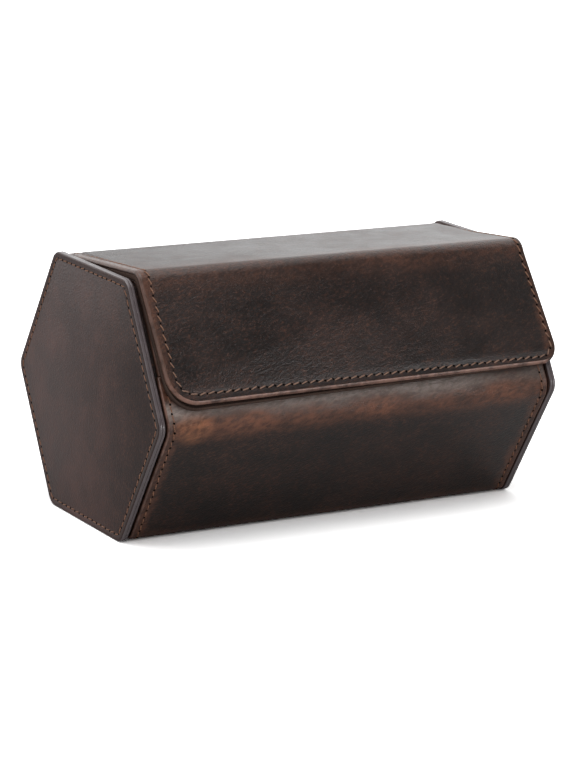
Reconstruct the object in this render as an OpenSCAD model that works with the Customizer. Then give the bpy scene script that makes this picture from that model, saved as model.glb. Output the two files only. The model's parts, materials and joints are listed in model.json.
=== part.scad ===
// Hexagonal leather travel case for three wrist watches.
// X runs along the case, the front is at -Y and Z is up. The origin is at the
// middle of the footprint, on the surface that the case stands on.

/* [Case] */
// Overall length, over the outer faces of the two ends
case_length = 186; // [150:1:240]
// Height of a hexagonal end, across its flats
end_height = 106; // [90:1:120]
// Rounding of the corners of the ends
end_corner_r = 6; // [3:0.5:9]
// Thickness of the leather on the outside of an end
end_leather_t = 1.6; // [1.2:0.1:2.4]
// Thickness of the second leather layer of an end
end_backing_t = 1.4; // [1:0.1:2.4]

/* [Body] */
// How far the wrapped body lies inside the outline of the ends
wrap_inset = 1; // [0.5:0.1:2]
// Thickness of the leather wrapped round the body
wrap_t = 1.8; // [1.2:0.1:2.4]
// Groove between an end and the side edge of the wrapped leather
wrap_groove = 1.5; // [0.8:0.1:2]
// Outside radius of the wrapped leather along the front edge
front_fold_r = 8; // [6:0.5:10]
// Outside radius of the wrapped leather along the bottom and rear edges
body_fold_r = 6; // [5.5:0.5:8]
// Thickness of the stiff boards and gusset flanges under the wrapped leather
shell_t = 2; // [1.5:0.1:2.5]
// Thickness of the flat part of a gusset
gusset_t = 1.4; // [1:0.1:2]
// How far a gusset flange reaches in from an end
flange_w = 7.5; // [6:0.5:9]
// Thickness of the board that stiffens an end
end_board_t = 2; // [1.5:0.1:3]
// Thickness of the suede lining
lining_t = 0.8; // [0.5:0.1:1.2]
// Height of the front lip under the flap, up the slope from the front edge
lip_h = 22; // [18:0.5:26]

/* [Lid] */
// Thickness of the outer leather of the lid
lid_leather_t = 1.8; // [1.2:0.1:2.4]
// Thickness of the boards in the lid
lid_board_t = 1.2; // [1:0.1:2]
// Gap between the closed lid and the rim it rests over
lid_gap = 0.2; // [0.1:0.05:0.4]
// Height of the lid above the ends' outline at its rear edge
lid_rear_rise = -1.2; // [-2:0.1:1]
// Height of the lid above the ends' outline at its front fold
lid_front_rise = 3.4; // [1:0.1:4]
// Distance of the flap's lower edge from the front edge, up the slope, at the right
flap_edge = 9.5; // [6:0.5:10]
// How far the flap's lower edge drops towards the left
flap_slant = 1.2; // [0:0.1:2]
// Radius of the flap's lower corners
flap_corner_r = 12; // [6:0.5:14]
// Radius of the leather at the flap's lower right corner
flap_right_corner_r = 9; // [6:0.5:12]
// Distance of the lid's left edge from the outer face of the left end
lid_left_gap = 4.4; // [3.6:0.1:6]
// Distance of the lid's right edge from the outer face of the right end
lid_right_gap = 3.8; // [3.6:0.1:6]
// How much each side of the flap draws in towards its lower edge
flap_taper = 2; // [0:0.1:3]
// How much the leather's right side spreads towards the lower edge instead
flap_flare = 4; // [0:0.5:4]
// How far the lining shows below the leather at the flap's lower left corner
flap_lining_drop = 1.5; // [0.2:0.1:2.5]
// Outside radius of the leather along the rear fold
hinge_r = 7; // [6:0.5:8]
// Outside radius of the leather along the front fold
fold_r = 6; // [5:0.5:8]
// Length of soft leather on each side of the rear fold
hinge_leg = 7; // [6:0.5:9]
// Length of soft leather on each side of the front fold
fold_leg = 7; // [5:0.5:9]
// Clearance where the soft leather of a fold meets a stiff part of the lid
fold_joint = 0.05; // [0.02:0.01:0.1]

/* [Magnets] */
// Diameter of the hidden magnets
magnet_d = 8; // [6:0.5:8]
// Thickness of the hidden magnets
magnet_t = 1; // [0.6:0.1:1]
// Distance between the two magnets, along the case
magnet_spacing = 90; // [50:1:120]
// Distance of the magnets from the front edge, up the slope
magnet_slope = 15; // [14.5:0.1:15.5]
// Clearance round a magnet in its board
magnet_fit = 0.1; // [0.05:0.05:0.2]

/* [Dividers] */
// Thickness of the board in a divider
divider_board_t = 1.8; // [1.2:0.1:3]
// Clearance between a divider and the lining round it
divider_fit = 0.2; // [0.1:0.05:0.4]
// Clearance between the dividers and the closed lid
divider_top_gap = 1.2; // [0.8:0.1:3]

/* [Cushions] */
// Clearance between a cushion and the walls of its bay
cushion_fit = 3; // [1.5:0.5:5]
// Depth of a cushion, front to rear
cushion_d = 60; // [50:1:62]
// Height of a cushion
cushion_h = 50; // [40:1:52]
// Clearance under a cushion
cushion_seat = 0.3; // [0.2:0.05:0.5]
// How much a cushion is drawn in at its end seams
cushion_draw = 2.4; // [1:0.1:4]
// How far the end panels of a cushion swell past their seams
cushion_dome = 2; // [1:0.1:3]
// Thickness of the suede and wadding round a cushion's foam
cushion_cover_t = 5; // [4:0.5:7]
// Corner radius of the foam
foam_r = 11; // [6:0.5:12]

/* [Hidden] */

$fn = 64;
// How far the flap's corner arcs stand out of its sides
arc_weld = 0.001;
leather_colour = "#3d2c27";
edge_colour = "#5a4a48";
board_colour = "#8c7660";
suede_colour = "#5a4436";
cushion_colour = "#6b503e";
foam_colour = "#d8d0c0";
magnet_colour = "#c0c0c0";
// Longer than anything that a profile is cut with
beyond = 2 * case_length;

// Angle of each face's outward normal, in the Y-Z plane
upper_front_angle = 150;
lower_front_angle = 210;
bottom_angle = 270;
lower_rear_angle = 330;
upper_rear_angle = 30;

apothem = end_height / 2;
side = end_height / sqrt(3);
end_x = -case_length / 2;
end_t = end_leather_t + end_backing_t;
wrap_x = end_x + end_t + wrap_groove;
flange_x = end_x + end_t + flange_w;
board_x = end_x + end_t + gusset_t;
end_lining_x = board_x + end_board_t;
inside_x = end_lining_x + lining_t;

// The lid is leather, board and lining, and lies over the rim of the body
lid_t = lid_leather_t + lid_board_t + lining_t;
flap_rise = lid_t + lid_gap - wrap_inset;
lid_tilt = atan((lid_front_rise - lid_rear_rise) / side);
lid_angle = 90 - lid_tilt;
lid_dist = side / 2 * sin(lid_tilt) + (apothem + lid_rear_rise) * cos(lid_tilt);

function unit(a) = [cos(a), sin(a)];
// Where two lines meet, each given by the angle of its normal and its distance
function meet(a, da, b, db) = [da * sin(b) - db * sin(a), db * cos(a) - da * cos(b)] / sin(b - a);
// An outline is a list of [normal angle, distance, radius of the corner after it]
function shrink(outline, t) = [for (f = outline) [f[0], f[1] - t, max(f[2] - t, 0)]];
function reach(outline, i) = outline[i][1];

end_outline = [
    for (a = [upper_front_angle, lower_front_angle, bottom_angle, lower_rear_angle, upper_rear_angle, 90])
        [a, apothem, end_corner_r]
];
rim_outline = [
    [upper_front_angle, apothem - wrap_inset, front_fold_r],
    [lower_front_angle, apothem - wrap_inset, body_fold_r],
    [bottom_angle, apothem - wrap_inset, body_fold_r],
    [lower_rear_angle, apothem - wrap_inset, body_fold_r],
    [upper_rear_angle, apothem - wrap_inset, 0],
    [lid_angle, lid_dist - lid_t - lid_gap, fold_r],
];
lid_outline = [
    [upper_front_angle, apothem + flap_rise, 0],
    [lower_front_angle, apothem, 0],
    [bottom_angle, apothem, 0],
    [lower_rear_angle, apothem, 0],
    [upper_rear_angle, apothem - wrap_inset, hinge_r],
    [lid_angle, lid_dist, fold_r],
];
shell_outline = shrink(rim_outline, wrap_t);
cavity_outline = shrink(shell_outline, shell_t);
lined_outline = shrink(cavity_outline, lining_t);

front_vertex = [-side, 0];
rear_corner = meet(upper_rear_angle, apothem - wrap_inset, lid_angle, lid_dist);
fold_corner = meet(lid_angle, lid_dist, upper_front_angle, apothem + flap_rise);
lid_length = norm(rear_corner - fold_corner);
fold_slope = (fold_corner - front_vertex) * unit(60);

divider_t = divider_board_t + 2 * lining_t;
bay_w = (-2 * inside_x - 2 * divider_t) / 3;
divider_x = (bay_w + divider_t) / 2;
divider_outline = [
    for (i = [0:5])
        [lined_outline[i][0], lined_outline[i][1] - divider_fit, lined_outline[i][2]]
];
divider_top = lid_dist - lid_t - divider_top_gap;
cushion_w = bay_w - 2 * cushion_fit;
cushion_z = wrap_inset + wrap_t + shell_t + lining_t + cushion_seat;
cushion_pitch = bay_w + divider_t;
cushion_sides = 40;
cushion_rings = 13;

// A closed outline with its corners rounded by true arcs. Where the sides meet them at odd
// angles, the arcs stand out by weld, so that each crosses its sides and doesn't just touch them.
module rounded(outline, weld = 0) {
    last = len(outline) - 1;
    after = [for (i = [0:last]) i == last ? 0 : i + 1];
    centres = [
        for (i = [0:last])
            let (r = outline[i][2])
            meet(outline[i][0], outline[i][1] - r, outline[after[i]][0], outline[after[i]][1] - r)
    ];
    polygon([
        for (i = [0:last])
            let (r = outline[i][2])
            each r > 0
                ? [centres[i] + r * unit(outline[i][0]), centres[i] + r * unit(outline[after[i]][0])]
                : [centres[i]]
    ]);
    for (i = [0:last])
        if (outline[i][2] > 0)
            translate(centres[i])
                circle(r = outline[i][2] + weld);
}

// The layer of thickness t just inside an outline
module layer(outline, t) {
    difference() {
        rounded(outline);
        rounded(shrink(outline, t));
    }
}

// A shape drawn in the Y-Z plane, about the middle of the ends, runs from x0 to x1
module along_case(x0, x1) {
    translate([x0, 0, apothem])
        rotate([90, 0, 90])
            linear_extrude(height = x1 - x0)
                children();
}

// A shape drawn on the upper front face, as X and the slope from the front edge
module on_front(low, high) {
    translate([0, -side, apothem])
        rotate([60, 0, 0])
            translate([0, 0, low])
                linear_extrude(height = high - low)
                    children();
}

// A shape drawn on the top of the lid, as X and the distance back from the fold
module on_top(low, high) {
    translate([0, fold_corner[0], apothem + fold_corner[1]])
        rotate([-lid_tilt, 0, 0])
            translate([0, 0, low])
                linear_extrude(height = high - low)
                    children();
}

// The half plane on the far side of a point, along a direction
module past(point, direction) {
    translate(point)
        rotate(direction)
            translate([0, -beyond / 2])
                square([beyond, beyond]);
}

module right_end() {
    mirror([1, 0, 0])
        children();
}

// The parts of a profile between the lip and the rear fold, over the opening
module open_sector() {
    intersection() {
        past(front_vertex + lip_h * unit(60), 60);
        past(rear_corner - hinge_leg * unit(120), 120);
    }
}

// The parts of a profile round the soft leather of a corner of the lid
module corner_zone(corner, leg, before, after) {
    intersection() {
        past(corner - leg * unit(before), before);
        past(corner + leg * unit(after), after + 180);
    }
}

module hinge_zone() {
    corner_zone(rear_corner, hinge_leg, upper_rear_angle + 90, lid_angle + 90);
}

module fold_zone() {
    corner_zone(fold_corner, fold_leg, lid_angle + 90, upper_front_angle + 90);
}

// The wedge of a profile between the corners before and after a face
module wedge(face) {
    from = rounded_corner(face == 0 ? 5 : face - 1);
    to = rounded_corner(face);
    polygon([[0, 0], 2 * from, 2 * to]);
}

function rounded_corner(i) =
    meet(shell_outline[i][0], shell_outline[i][1], shell_outline[(i + 1) % 6][0],
         shell_outline[(i + 1) % 6][1]);

module end_leather() {
    color(leather_colour)
        along_case(end_x, end_x + end_leather_t)
            rounded(end_outline);
}

module end_backing() {
    color(edge_colour)
        along_case(end_x + end_leather_t, end_x + end_t)
            rounded(end_outline);
}

// A pan of stiff leather: its flange joins an end to the body and carries the rim
module gusset() {
    color(leather_colour)
        difference() {
            along_case(end_x + end_t, flange_x)
                rounded(shell_outline);
            along_case(board_x, flange_x + 1)
                rounded(cavity_outline);
        }
}

module end_board() {
    color(board_colour)
        along_case(board_x, end_lining_x)
            rounded(cavity_outline);
}

module end_lining() {
    color(suede_colour)
        along_case(end_lining_x, inside_x)
            rounded(cavity_outline);
}

// The leather strip along the end of the opening, under the edge of the lid
module rim_strip() {
    color(leather_colour)
        along_case(wrap_x, flange_x)
            difference() {
                intersection() {
                    layer(rim_outline, wrap_t);
                    open_sector();
                }
                past(unit(upper_rear_angle) * reach(shell_outline, 4), upper_rear_angle);
            }
}

// Leather round the body, turned in over the top edge of the front lip
module body_wrap() {
    color(leather_colour)
        union() {
            along_case(wrap_x, -wrap_x)
                difference() {
                    layer(rim_outline, wrap_t);
                    open_sector();
                }
            on_front(-wrap_inset - wrap_t - shell_t, -wrap_inset - wrap_t / 2)
                translate([flange_x, lip_h - wrap_t])
                    square([-2 * flange_x, wrap_t]);
        }
}

module shell_board(face) {
    color(board_colour)
        along_case(flange_x, -flange_x)
            difference() {
                intersection() {
                    layer(shell_outline, shell_t);
                    wedge(face);
                }
                open_sector();
            }
}

module magnet_pair(d, low, high) {
    for (x = [-magnet_spacing / 2, magnet_spacing / 2])
        on_front(low, high)
            translate([x, magnet_slope])
                circle(d = d);
}

module front_lip_board() {
    color(board_colour)
        difference() {
            shell_board(0);
            on_front(-apothem / 2, 0)
                translate([end_x, lip_h - wrap_t])
                    square([case_length, side]);
            magnet_pair(magnet_d + 2 * magnet_fit, -apothem / 2, 0);
        }
}

module lip_magnets() {
    magnet_top = -wrap_inset - wrap_t;
    color(magnet_colour)
        magnet_pair(magnet_d, magnet_top - magnet_t, magnet_top);
}

module body_lining() {
    color(suede_colour)
        along_case(inside_x, -inside_x)
            difference() {
                layer(cavity_outline, lining_t);
                open_sector();
            }
}

module divider_shape(edge) {
    intersection() {
        rounded(divider_outline);
        past(unit(lid_angle) * (divider_top - edge), lid_angle + 180);
        past(unit(upper_front_angle) * (reach(divider_outline, 0) - edge), upper_front_angle + 180);
    }
}

module divider_board() {
    color(board_colour)
        along_case(-divider_x - divider_board_t / 2, -divider_x + divider_board_t / 2)
            divider_shape(lining_t);
}

module divider_suede() {
    color(suede_colour)
        difference() {
            along_case(-divider_x - divider_t / 2, -divider_x + divider_t / 2)
                divider_shape(0);
            along_case(-divider_x - divider_board_t / 2, -divider_x + divider_board_t / 2)
                divider_shape(lining_t);
        }
}

module hinge_leather() {
    color(leather_colour)
        along_case(wrap_x, -wrap_x)
            intersection() {
                layer(lid_outline, lid_leather_t);
                hinge_zone();
            }
}

module hinge_lining() {
    color(suede_colour)
        along_case(flange_x, -flange_x)
            intersection() {
                layer(shrink(lid_outline, lid_leather_t), lining_t);
                hinge_zone();
            }
}

module fold_leather() {
    color(leather_colour)
        along_case(end_x + lid_left_gap, -end_x - lid_right_gap)
            intersection() {
                layer(lid_outline, lid_leather_t);
                fold_zone();
            }
}

module fold_lining() {
    color(suede_colour)
        along_case(end_x + lid_left_gap, -end_x - lid_right_gap)
            intersection() {
                layer(shrink(lid_outline, lid_leather_t), lining_t);
                fold_zone();
            }
}

// The flat top of the lid, drawn in by edge on all sides
module lid_top_shape(edge) {
    translate([end_x + lid_left_gap + edge, fold_leg + edge])
        square([
            case_length - lid_left_gap - lid_right_gap - 2 * edge,
            lid_length - fold_leg - hinge_leg - fold_joint - 2 * edge
        ]);
}

module lid_top_leather() {
    color(leather_colour)
        on_top(-lid_leather_t, 0)
            lid_top_shape(0);
}

module lid_top_board() {
    color(board_colour)
        on_top(-lid_leather_t - lid_board_t, -lid_leather_t)
            lid_top_shape(lining_t);
}

module lid_top_lining() {
    color(suede_colour)
        difference() {
            on_top(-lid_t, -lid_leather_t)
                lid_top_shape(0);
            on_top(-lid_leather_t - lid_board_t, 0)
                lid_top_shape(lining_t);
        }
}

// The flap, drawn in by edge on all sides: its lower edge drops towards the left, and its
// right side draws in by taper
module flap_shape(edge, drop, taper, right_r) {
    top = fold_slope - fold_leg - fold_joint;
    left_lean = atan(flap_taper / (top - flap_edge));
    right_lean = atan(taper / (top - flap_edge));
    slant = atan(drop / case_length);
    left = [end_x + lid_left_gap + edge, top];
    right = [-end_x - lid_right_gap - edge, top];
    low = [-end_x, flap_edge + edge];
    rounded([
        [180 + left_lean, left * unit(180 + left_lean), flap_corner_r - edge],
        [270 + slant, low * unit(270 + slant), right_r - edge],
        [360 - right_lean, right * unit(-right_lean), 0],
        [90, top - edge, 0],
    ], arc_weld);
}

module flap_leather() {
    color(leather_colour)
        on_front(flap_rise - lid_leather_t, flap_rise)
            flap_shape(0, flap_slant, -flap_flare, flap_right_corner_r);
}

module flap_board_solid(edge) {
    high = flap_rise - lid_leather_t;
    on_front(high - lid_board_t, high + edge)
        flap_shape(lining_t, flap_slant, flap_taper, flap_corner_r);
}

module flap_board() {
    high = flap_rise - lid_leather_t;
    color(board_colour)
        difference() {
            flap_board_solid(0);
            magnet_pair(magnet_d + 2 * magnet_fit, high - lid_board_t - 1, high + 1);
        }
}

module flap_lining() {
    high = flap_rise - lid_leather_t;
    color(suede_colour)
        difference() {
            on_front(high - lid_board_t - lining_t, high)
                flap_shape(0, flap_slant + flap_lining_drop, flap_taper, flap_corner_r);
            flap_board_solid(1);
        }
}

module flap_magnets() {
    high = flap_rise - lid_leather_t;
    color(magnet_colour)
        magnet_pair(magnet_d, high - magnet_t, high);
}

// How far out a cushion's section lies at each ring, from one end to the other.
// The wrap swells in the middle, and the end panels swell past their seams.
function cushion_ring(i) =
    let (
        u = 2 * i / (cushion_rings - 1) - 1,
        inner = 0.78,
        wrapped = abs(u) <= inner,
        v = wrapped ? u / inner : (1 - abs(u)) / (1 - inner),
        seam_x = cushion_w / 2 - cushion_dome
    )
    wrapped
        ? [v * seam_x, -cushion_draw * pow(abs(v), 4), 1]
        : [sign(u) * (seam_x + cushion_dome * sqrt(1 - v * v)), -cushion_draw, 0.15 + 0.8 * v];

// A point of the section: a square with well rounded corners
function cushion_point(ring, a) =
    let (
        soft = 0.62,
        y = sign(cos(a)) * pow(abs(cos(a)), soft),
        z = sign(sin(a)) * pow(abs(sin(a)), soft)
    )
    [ring[0], (cushion_d / 2 + ring[1]) * ring[2] * y, (cushion_h / 2 + ring[1]) * ring[2] * z];

module cushion_form() {
    n = cushion_sides;
    points = [
        for (i = [0:cushion_rings - 1])
            for (k = [0:n - 1])
                cushion_point(cushion_ring(i), 360 * k / n + 180 / n)
    ];
    faces = [
        for (i = [0:cushion_rings - 2])
            for (k = [0:n - 1])
                let (a = i * n + k, b = i * n + (k + 1) % n)
                each [[a, b, b + n], [a, b + n, a + n]],
        for (k = [1:n - 2])
            [0, k + 1, k],
        for (k = [1:n - 2])
            let (last = (cushion_rings - 1) * n)
            [last, last + k, last + k + 1],
    ];
    polyhedron(points, faces, convexity = 4);
}

module foam_form() {
    w = cushion_w - 2 * cushion_cover_t - 2 * cushion_dome;
    d = cushion_d - 2 * cushion_cover_t - 2 * cushion_draw;
    h = cushion_h - 2 * cushion_cover_t - 2 * cushion_draw;
    translate([-w / 2, 0, 0])
        rotate([90, 0, 90])
            linear_extrude(height = w)
                rounded([[180, d / 2, foam_r], [270, h / 2, foam_r], [0, d / 2, foam_r], [90, h / 2, foam_r]]);
}

module in_bay(place) {
    translate([place * cushion_pitch, 0, cushion_z + cushion_h / 2])
        children();
}

module cushion_cover() {
    color(cushion_colour)
        difference() {
            cushion_form();
            foam_form();
        }
}

module cushion_foam() {
    color(foam_colour)
        foam_form();
}

end_leather();  // left_end_leather
end_backing();  // left_end_backing
gusset();  // left_gusset
end_board();  // left_end_board
end_lining();  // left_end_lining
rim_strip();  // left_rim_strip
right_end() end_leather();  // right_end_leather
right_end() end_backing();  // right_end_backing
right_end() gusset();  // right_gusset
right_end() end_board();  // right_end_board
right_end() end_lining();  // right_end_lining
right_end() rim_strip();  // right_rim_strip
body_wrap();
front_lip_board();
shell_board(1);  // lower_front_board
shell_board(2);  // bottom_board
shell_board(3);  // lower_rear_board
shell_board(4);  // upper_rear_board
body_lining();
lip_magnets();
divider_board();  // left_divider_board
divider_suede();  // left_divider_suede
right_end() divider_board();  // right_divider_board
right_end() divider_suede();  // right_divider_suede
hinge_leather();
hinge_lining();
lid_top_leather();
lid_top_board();
lid_top_lining();
fold_leather();
fold_lining();
flap_leather();
flap_board();
flap_lining();
flap_magnets();
in_bay(-1) cushion_cover();  // left_cushion_cover
in_bay(-1) cushion_foam();  // left_cushion_foam
in_bay(0) cushion_cover();  // middle_cushion_cover
in_bay(0) cushion_foam();  // middle_cushion_foam
in_bay(1) cushion_cover();  // right_cushion_cover
in_bay(1) cushion_foam();  // right_cushion_foam
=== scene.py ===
"""Dresses a hexagonal leather travel case for watches, on a white stage, round its parts."""

import json
import math
import random
from collections import namedtuple

import bmesh
import bpy
from bpy.props import FloatProperty, FloatVectorProperty, PointerProperty
from mathutils import Matrix, Vector


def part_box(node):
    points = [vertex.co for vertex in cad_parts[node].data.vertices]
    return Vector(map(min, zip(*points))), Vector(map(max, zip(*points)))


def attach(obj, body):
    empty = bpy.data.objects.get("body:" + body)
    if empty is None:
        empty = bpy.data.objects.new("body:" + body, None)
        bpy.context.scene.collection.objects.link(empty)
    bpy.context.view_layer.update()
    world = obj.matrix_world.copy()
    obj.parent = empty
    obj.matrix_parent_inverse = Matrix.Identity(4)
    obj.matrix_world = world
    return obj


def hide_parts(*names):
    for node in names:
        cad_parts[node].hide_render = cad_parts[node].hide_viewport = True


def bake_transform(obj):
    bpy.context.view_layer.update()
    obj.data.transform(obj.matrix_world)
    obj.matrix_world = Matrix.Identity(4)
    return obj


bl_info = {
    "name": "Watch travel case",
    "version": (1, 0, 0),
    "blender": (4, 5, 0),
    "location": "View3D > Sidebar > Watch case",
    "description": "Dresses a leather watch travel case in leather, suede, thread and cushions",
    "category": "Object",
}

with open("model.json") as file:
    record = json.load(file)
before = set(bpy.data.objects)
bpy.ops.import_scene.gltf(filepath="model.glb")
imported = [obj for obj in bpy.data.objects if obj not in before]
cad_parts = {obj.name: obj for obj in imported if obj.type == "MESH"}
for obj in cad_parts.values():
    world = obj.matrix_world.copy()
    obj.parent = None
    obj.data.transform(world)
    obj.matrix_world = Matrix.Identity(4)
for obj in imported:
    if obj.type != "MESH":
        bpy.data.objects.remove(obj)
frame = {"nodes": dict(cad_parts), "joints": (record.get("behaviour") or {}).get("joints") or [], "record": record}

# Normal angle of each flat face of the case, in the Y-Z plane, in degrees
UPPER_FRONT, LOWER_FRONT, BOTTOM, LOWER_REAR, UPPER_REAR = 150, 210, 270, 330, 30
# How much the case turns at each of its edges
HEXAGON_TURN = math.radians(60)


def length(name, about, default):
    """A size that a user can set, in metres."""
    return FloatProperty(name=name, description=about, default=default, unit="LENGTH", precision=5)


def colour(name, about, default):
    """A surface colour that a user can set, as linear light."""
    return FloatVectorProperty(
        name=name, description=about, default=default, subtype="COLOR", size=3, min=0, max=1
    )


class CaseSizes(bpy.types.PropertyGroup):
    """Sizes of the leather work that the frame doesn't hold."""

    end_corner: length("End corner", "Corner radius of the two ends", 0.006)
    front_fold: length("Front edge", "Outside radius of the leather along the front edge", 0.008)
    body_fold: length("Body edges", "Outside radius of the leather along the other edges", 0.006)
    rear_fold: length("Rear fold", "Outside radius of the leather at the rear fold", 0.007)
    lid_fold: length("Lid fold", "Outside radius of the leather at the lid's front fold", 0.006)
    left_corner: length("Left corner", "Radius of the flap's lower left corner", 0.012)
    right_corner: length("Right corner", "Radius of the flap's lower right corner", 0.009)
    flap_taper: length("Flap taper", "How much the flap's left side draws in", 0.002)
    flap_flare: length("Flap flare", "How much the flap's right side spreads at its foot", 0.0069)
    lid_spread: length("Lid spread", "How much the lid's right side spreads at its fold", 0.0026)
    spread_start: length(
        "Spread start", "Where the lid starts to spread, from its rear corner", 0.034
    )
    swell: length("Swell", "How far the body's leather stands out from its boards", 0.0007)
    reach: length("Reach", "How far the body's leather goes on towards the right end", 0.0012)
    flap_edge: length(
        "Flap edge", "From the front edge up to the flap's edge, at the right", 0.0095
    )
    flap_slant: length("Flap slant", "How far the flap's edge drops towards the left", 0.0012)
    lid_layers: length("Lid layers", "From the outside of the lid down to the rim under it", 0.004)
    lip: length("Lip", "Height of the front lip, up the slope from the front edge", 0.022)
    soft_leg: length("Soft leather", "Length of soft leather beside the rear fold", 0.007)
    rear_bend: length(
        "Rear bend", "From the rear corner down to where the leather starts to bend", 0.004
    )
    top_bend: length(
        "Top bend", "From the rear corner forward to where the leather stops bending", 0.008
    )
    rear_margin: length("Rear margin", "From the rear corner forward to the first crease", 0.001)
    rear_crease: length(
        "Rear crease", "Distance between two creases in front of the rear corner", 0.0012
    )
    fold_bend: length("Fold bend", "How far from the lid's front fold its leather bends", 0.006)
    front_margin: length("Front margin", "How far from the front fold its creases start", 0.0035)
    front_crease: length(
        "Front crease", "Distance between two creases beside the front fold", 0.001
    )
    edge_round: length("Edge rounding", "Rounding of a cut leather edge", 0.0007)
    layer_round: length(
        "Layer round", "Rounding of the edges between the two layers of an end", 0.00025
    )
    lid_round: length("Lid edge rounding", "Rounding of the outside of the lid's edge", 0.0012)
    inner_round: length("Inner rounding", "Rounding of the inside of a leather edge", 0.0003)
    gusset_round: length("Gusset round", "Rounding of the edges of a gusset", 0.0004)
    lining_round: length("Lining round", "Rounding of the edges of a lining", 0.0003)
    body_lining_round: length(
        "Body lining round", "Rounding of the edges of the body's lining", 0.00035
    )
    divider_round: length("Divider round", "Rounding of the edges of a divider", 0.0012)
    end_border: length("End border", "Distance of an end's stitches from its edge", 0.0028)
    wrap_border: length("Body border", "Distance of the body's stitches from its edge", 0.0029)
    left_border: length("Left border", "Distance of the lid's stitches from its left edge", 0.0042)
    right_border: length(
        "Right border", "Distance of the lid's stitches from its right edge", 0.0027
    )
    flap_border: length("Flap border", "Distance of the stitches from the flap's edge", 0.0035)
    border_run: length(
        "Border run", "How far up the flap its border eases into the right one", 0.02
    )
    border_limit: length(
        "Border limit", "The most that the border of the flap's edge is moved", 0.002
    )
    wide_turn: length("Wide turn", "Radius of a seam where the lid's side starts to lean", 0.02)
    slight_turn: length("Slight turn", "Radius of a seam where the lid's side leans further", 0.01)
    seam_stop: length("Seam stop", "How far a rim's seam stops short of its rear end", 0.002)
    rim_inset: length(
        "Rim inset", "How far the rim's leather is trimmed back from the ends", 0.0008
    )
    rim_gap: length("Rim gap", "Space between the rim's leather and the rear leather", 0.0001)
    groove: length("Groove", "Depth of the groove that the stitches lie in", 0.00018)
    groove_floor: length("Groove floor", "Width of the floor of the groove", 0.0010)
    groove_wall: length("Groove wall", "Width of each wall of the groove", 0.0004)
    pitch: length("Stitch pitch", "Distance between two needle holes", 0.0038)
    thread: length("Thread", "Diameter of the sewing thread", 0.00048)
    lid_thread: length("Lid thread", "Diameter of the sewing thread of the lid", 0.00055)
    hole: length("Needle hole", "Diameter of a needle hole", 0.00095)
    lining: length("Lining", "Thickness of the suede", 0.0008)
    glue: length("Glue", "Space between glued layers", 0.00005)
    lid_play: length("Lid play", "Gap between the closed lid and the rim", 0.0002)
    lining_drop: length(
        "Lining drop", "How far the lining shows below the flap at the left", 0.0019
    )
    cushion_seam: length("Cushion seam", "Distance of an end seam from a cushion's end", 0.0032)
    cushion_swell: length("Cushion swell", "How far a cushion's filling may swell it", 0.004)
    cushion_voxel: length("Cushion voxel", "Size of the cushion's mesh before it is filled", 0.004)
    piping: length("Piping", "Size of the cord along a cushion's seams", 0.0012)
    cord_weld: length(
        "Cord weld", "Points of the piping's path that are nearer than this are joined", 0.0004
    )
    cushion_cut: FloatProperty(
        name="Cushion cut", description="How small a cushion is cut before it is filled",
        default=0.94,
    )


class CaseLook(bpy.types.PropertyGroup):
    """Colours of the finishes, as linear light."""

    wax: colour("Wax", "Leather where the wax is whole", (0.0105, 0.0066, 0.0058))
    brown: colour("Brown", "Leather where the wax is thin", (0.023, 0.012, 0.0098))
    pull: colour("Pulled", "Leather where a fold pulls the wax apart", (0.2, 0.075, 0.04))
    raw: colour(
        "Raw", "Leather where the front edge has lost its wax at the left", (0.5, 0.19, 0.08)
    )
    # Painted highlight: the pale band that the curved front edge mirrors, given as pale wax bloom
    bloom_and_highlight: colour("BloomAndHighlight", "Pale wax rubbed up along the front edge", (0.31, 0.26, 0.235))
    # Partly painted highlight: the light that rounded arrises catch, together with rubbing
    rubbed_and_lit: colour("Rubbed", "Arrises that handling has rubbed bare", (0.27, 0.145, 0.11))
    paint: colour("Edge paint", "Painted edges of the ends", (0.1, 0.078, 0.082))
    burnish: colour("Burnish", "Rubbed edges of the body and the lid", (0.05, 0.023, 0.015))
    suede: colour("Suede", "Lining", (0.07, 0.045, 0.036))
    cushion: colour("Cushion suede", "Covers of the cushions", (0.13, 0.085, 0.06))
    # The lid's thread and the shaded thread are lit and shaded copies of one thread; the lid's is lighter as
    # painted highlight
    thread: colour("Thread", "Sewing thread of the lid", (0.36, 0.21, 0.145))
    shaded_thread: colour(
        "Dark thread", "Sewing thread of the ends and the body", (0.33, 0.155, 0.088)
    )
    end_wax: colour("End wax", "Leather of the ends where the wax is whole", (0.047, 0.027, 0.025))
    end_brown: colour(
        "End brown", "Leather of the ends where the wax is thin", (0.088, 0.048, 0.043)
    )
    board: colour("Board", "Stiffening boards", (0.3, 0.23, 0.17))
    # Painted shade: a needle hole is a flat dark disc for the shade inside it
    hole: colour("Hole", "Inside of a needle hole", (0.006, 0.004, 0.003))
    hole_deep_shade: colour("Hole floor", "Darkest part of a needle hole", (0.002, 0.0015, 0.001))
    foam: colour("Foam", "Foam of the cushions", (0.66, 0.63, 0.56))
    magnet: colour("Magnet", "Plating of the magnets", (0.62, 0.62, 0.64))


def angle(name, about, degrees):
    """An angle of the camera that a user can set."""
    return FloatProperty(
        name=name, description=about, default=math.radians(degrees), subtype="ANGLE"
    )


class CaseView(bpy.types.PropertyGroup):
    """The camera."""

    azimuth: angle("Azimuth", "Angle of the camera round the case", -31.347)
    elevation: angle("Elevation", "Angle of the camera above the stage", 14.037)
    roll: angle("Roll", "Turn of the camera about its own line of sight", 2.086)
    distance: length("Distance", "From the camera to what it looks at", 1.27866)
    aim: length("Aim", "How far right of the middle the camera looks", 0.00046)
    height: length("Height", "Height of what the camera looks at", 0.0485)
    lens: FloatProperty(
        name="Lens", description="Focal length, for a sensor 36 mm on its long side",
        default=144.95, unit="CAMERA",
    )


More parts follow.
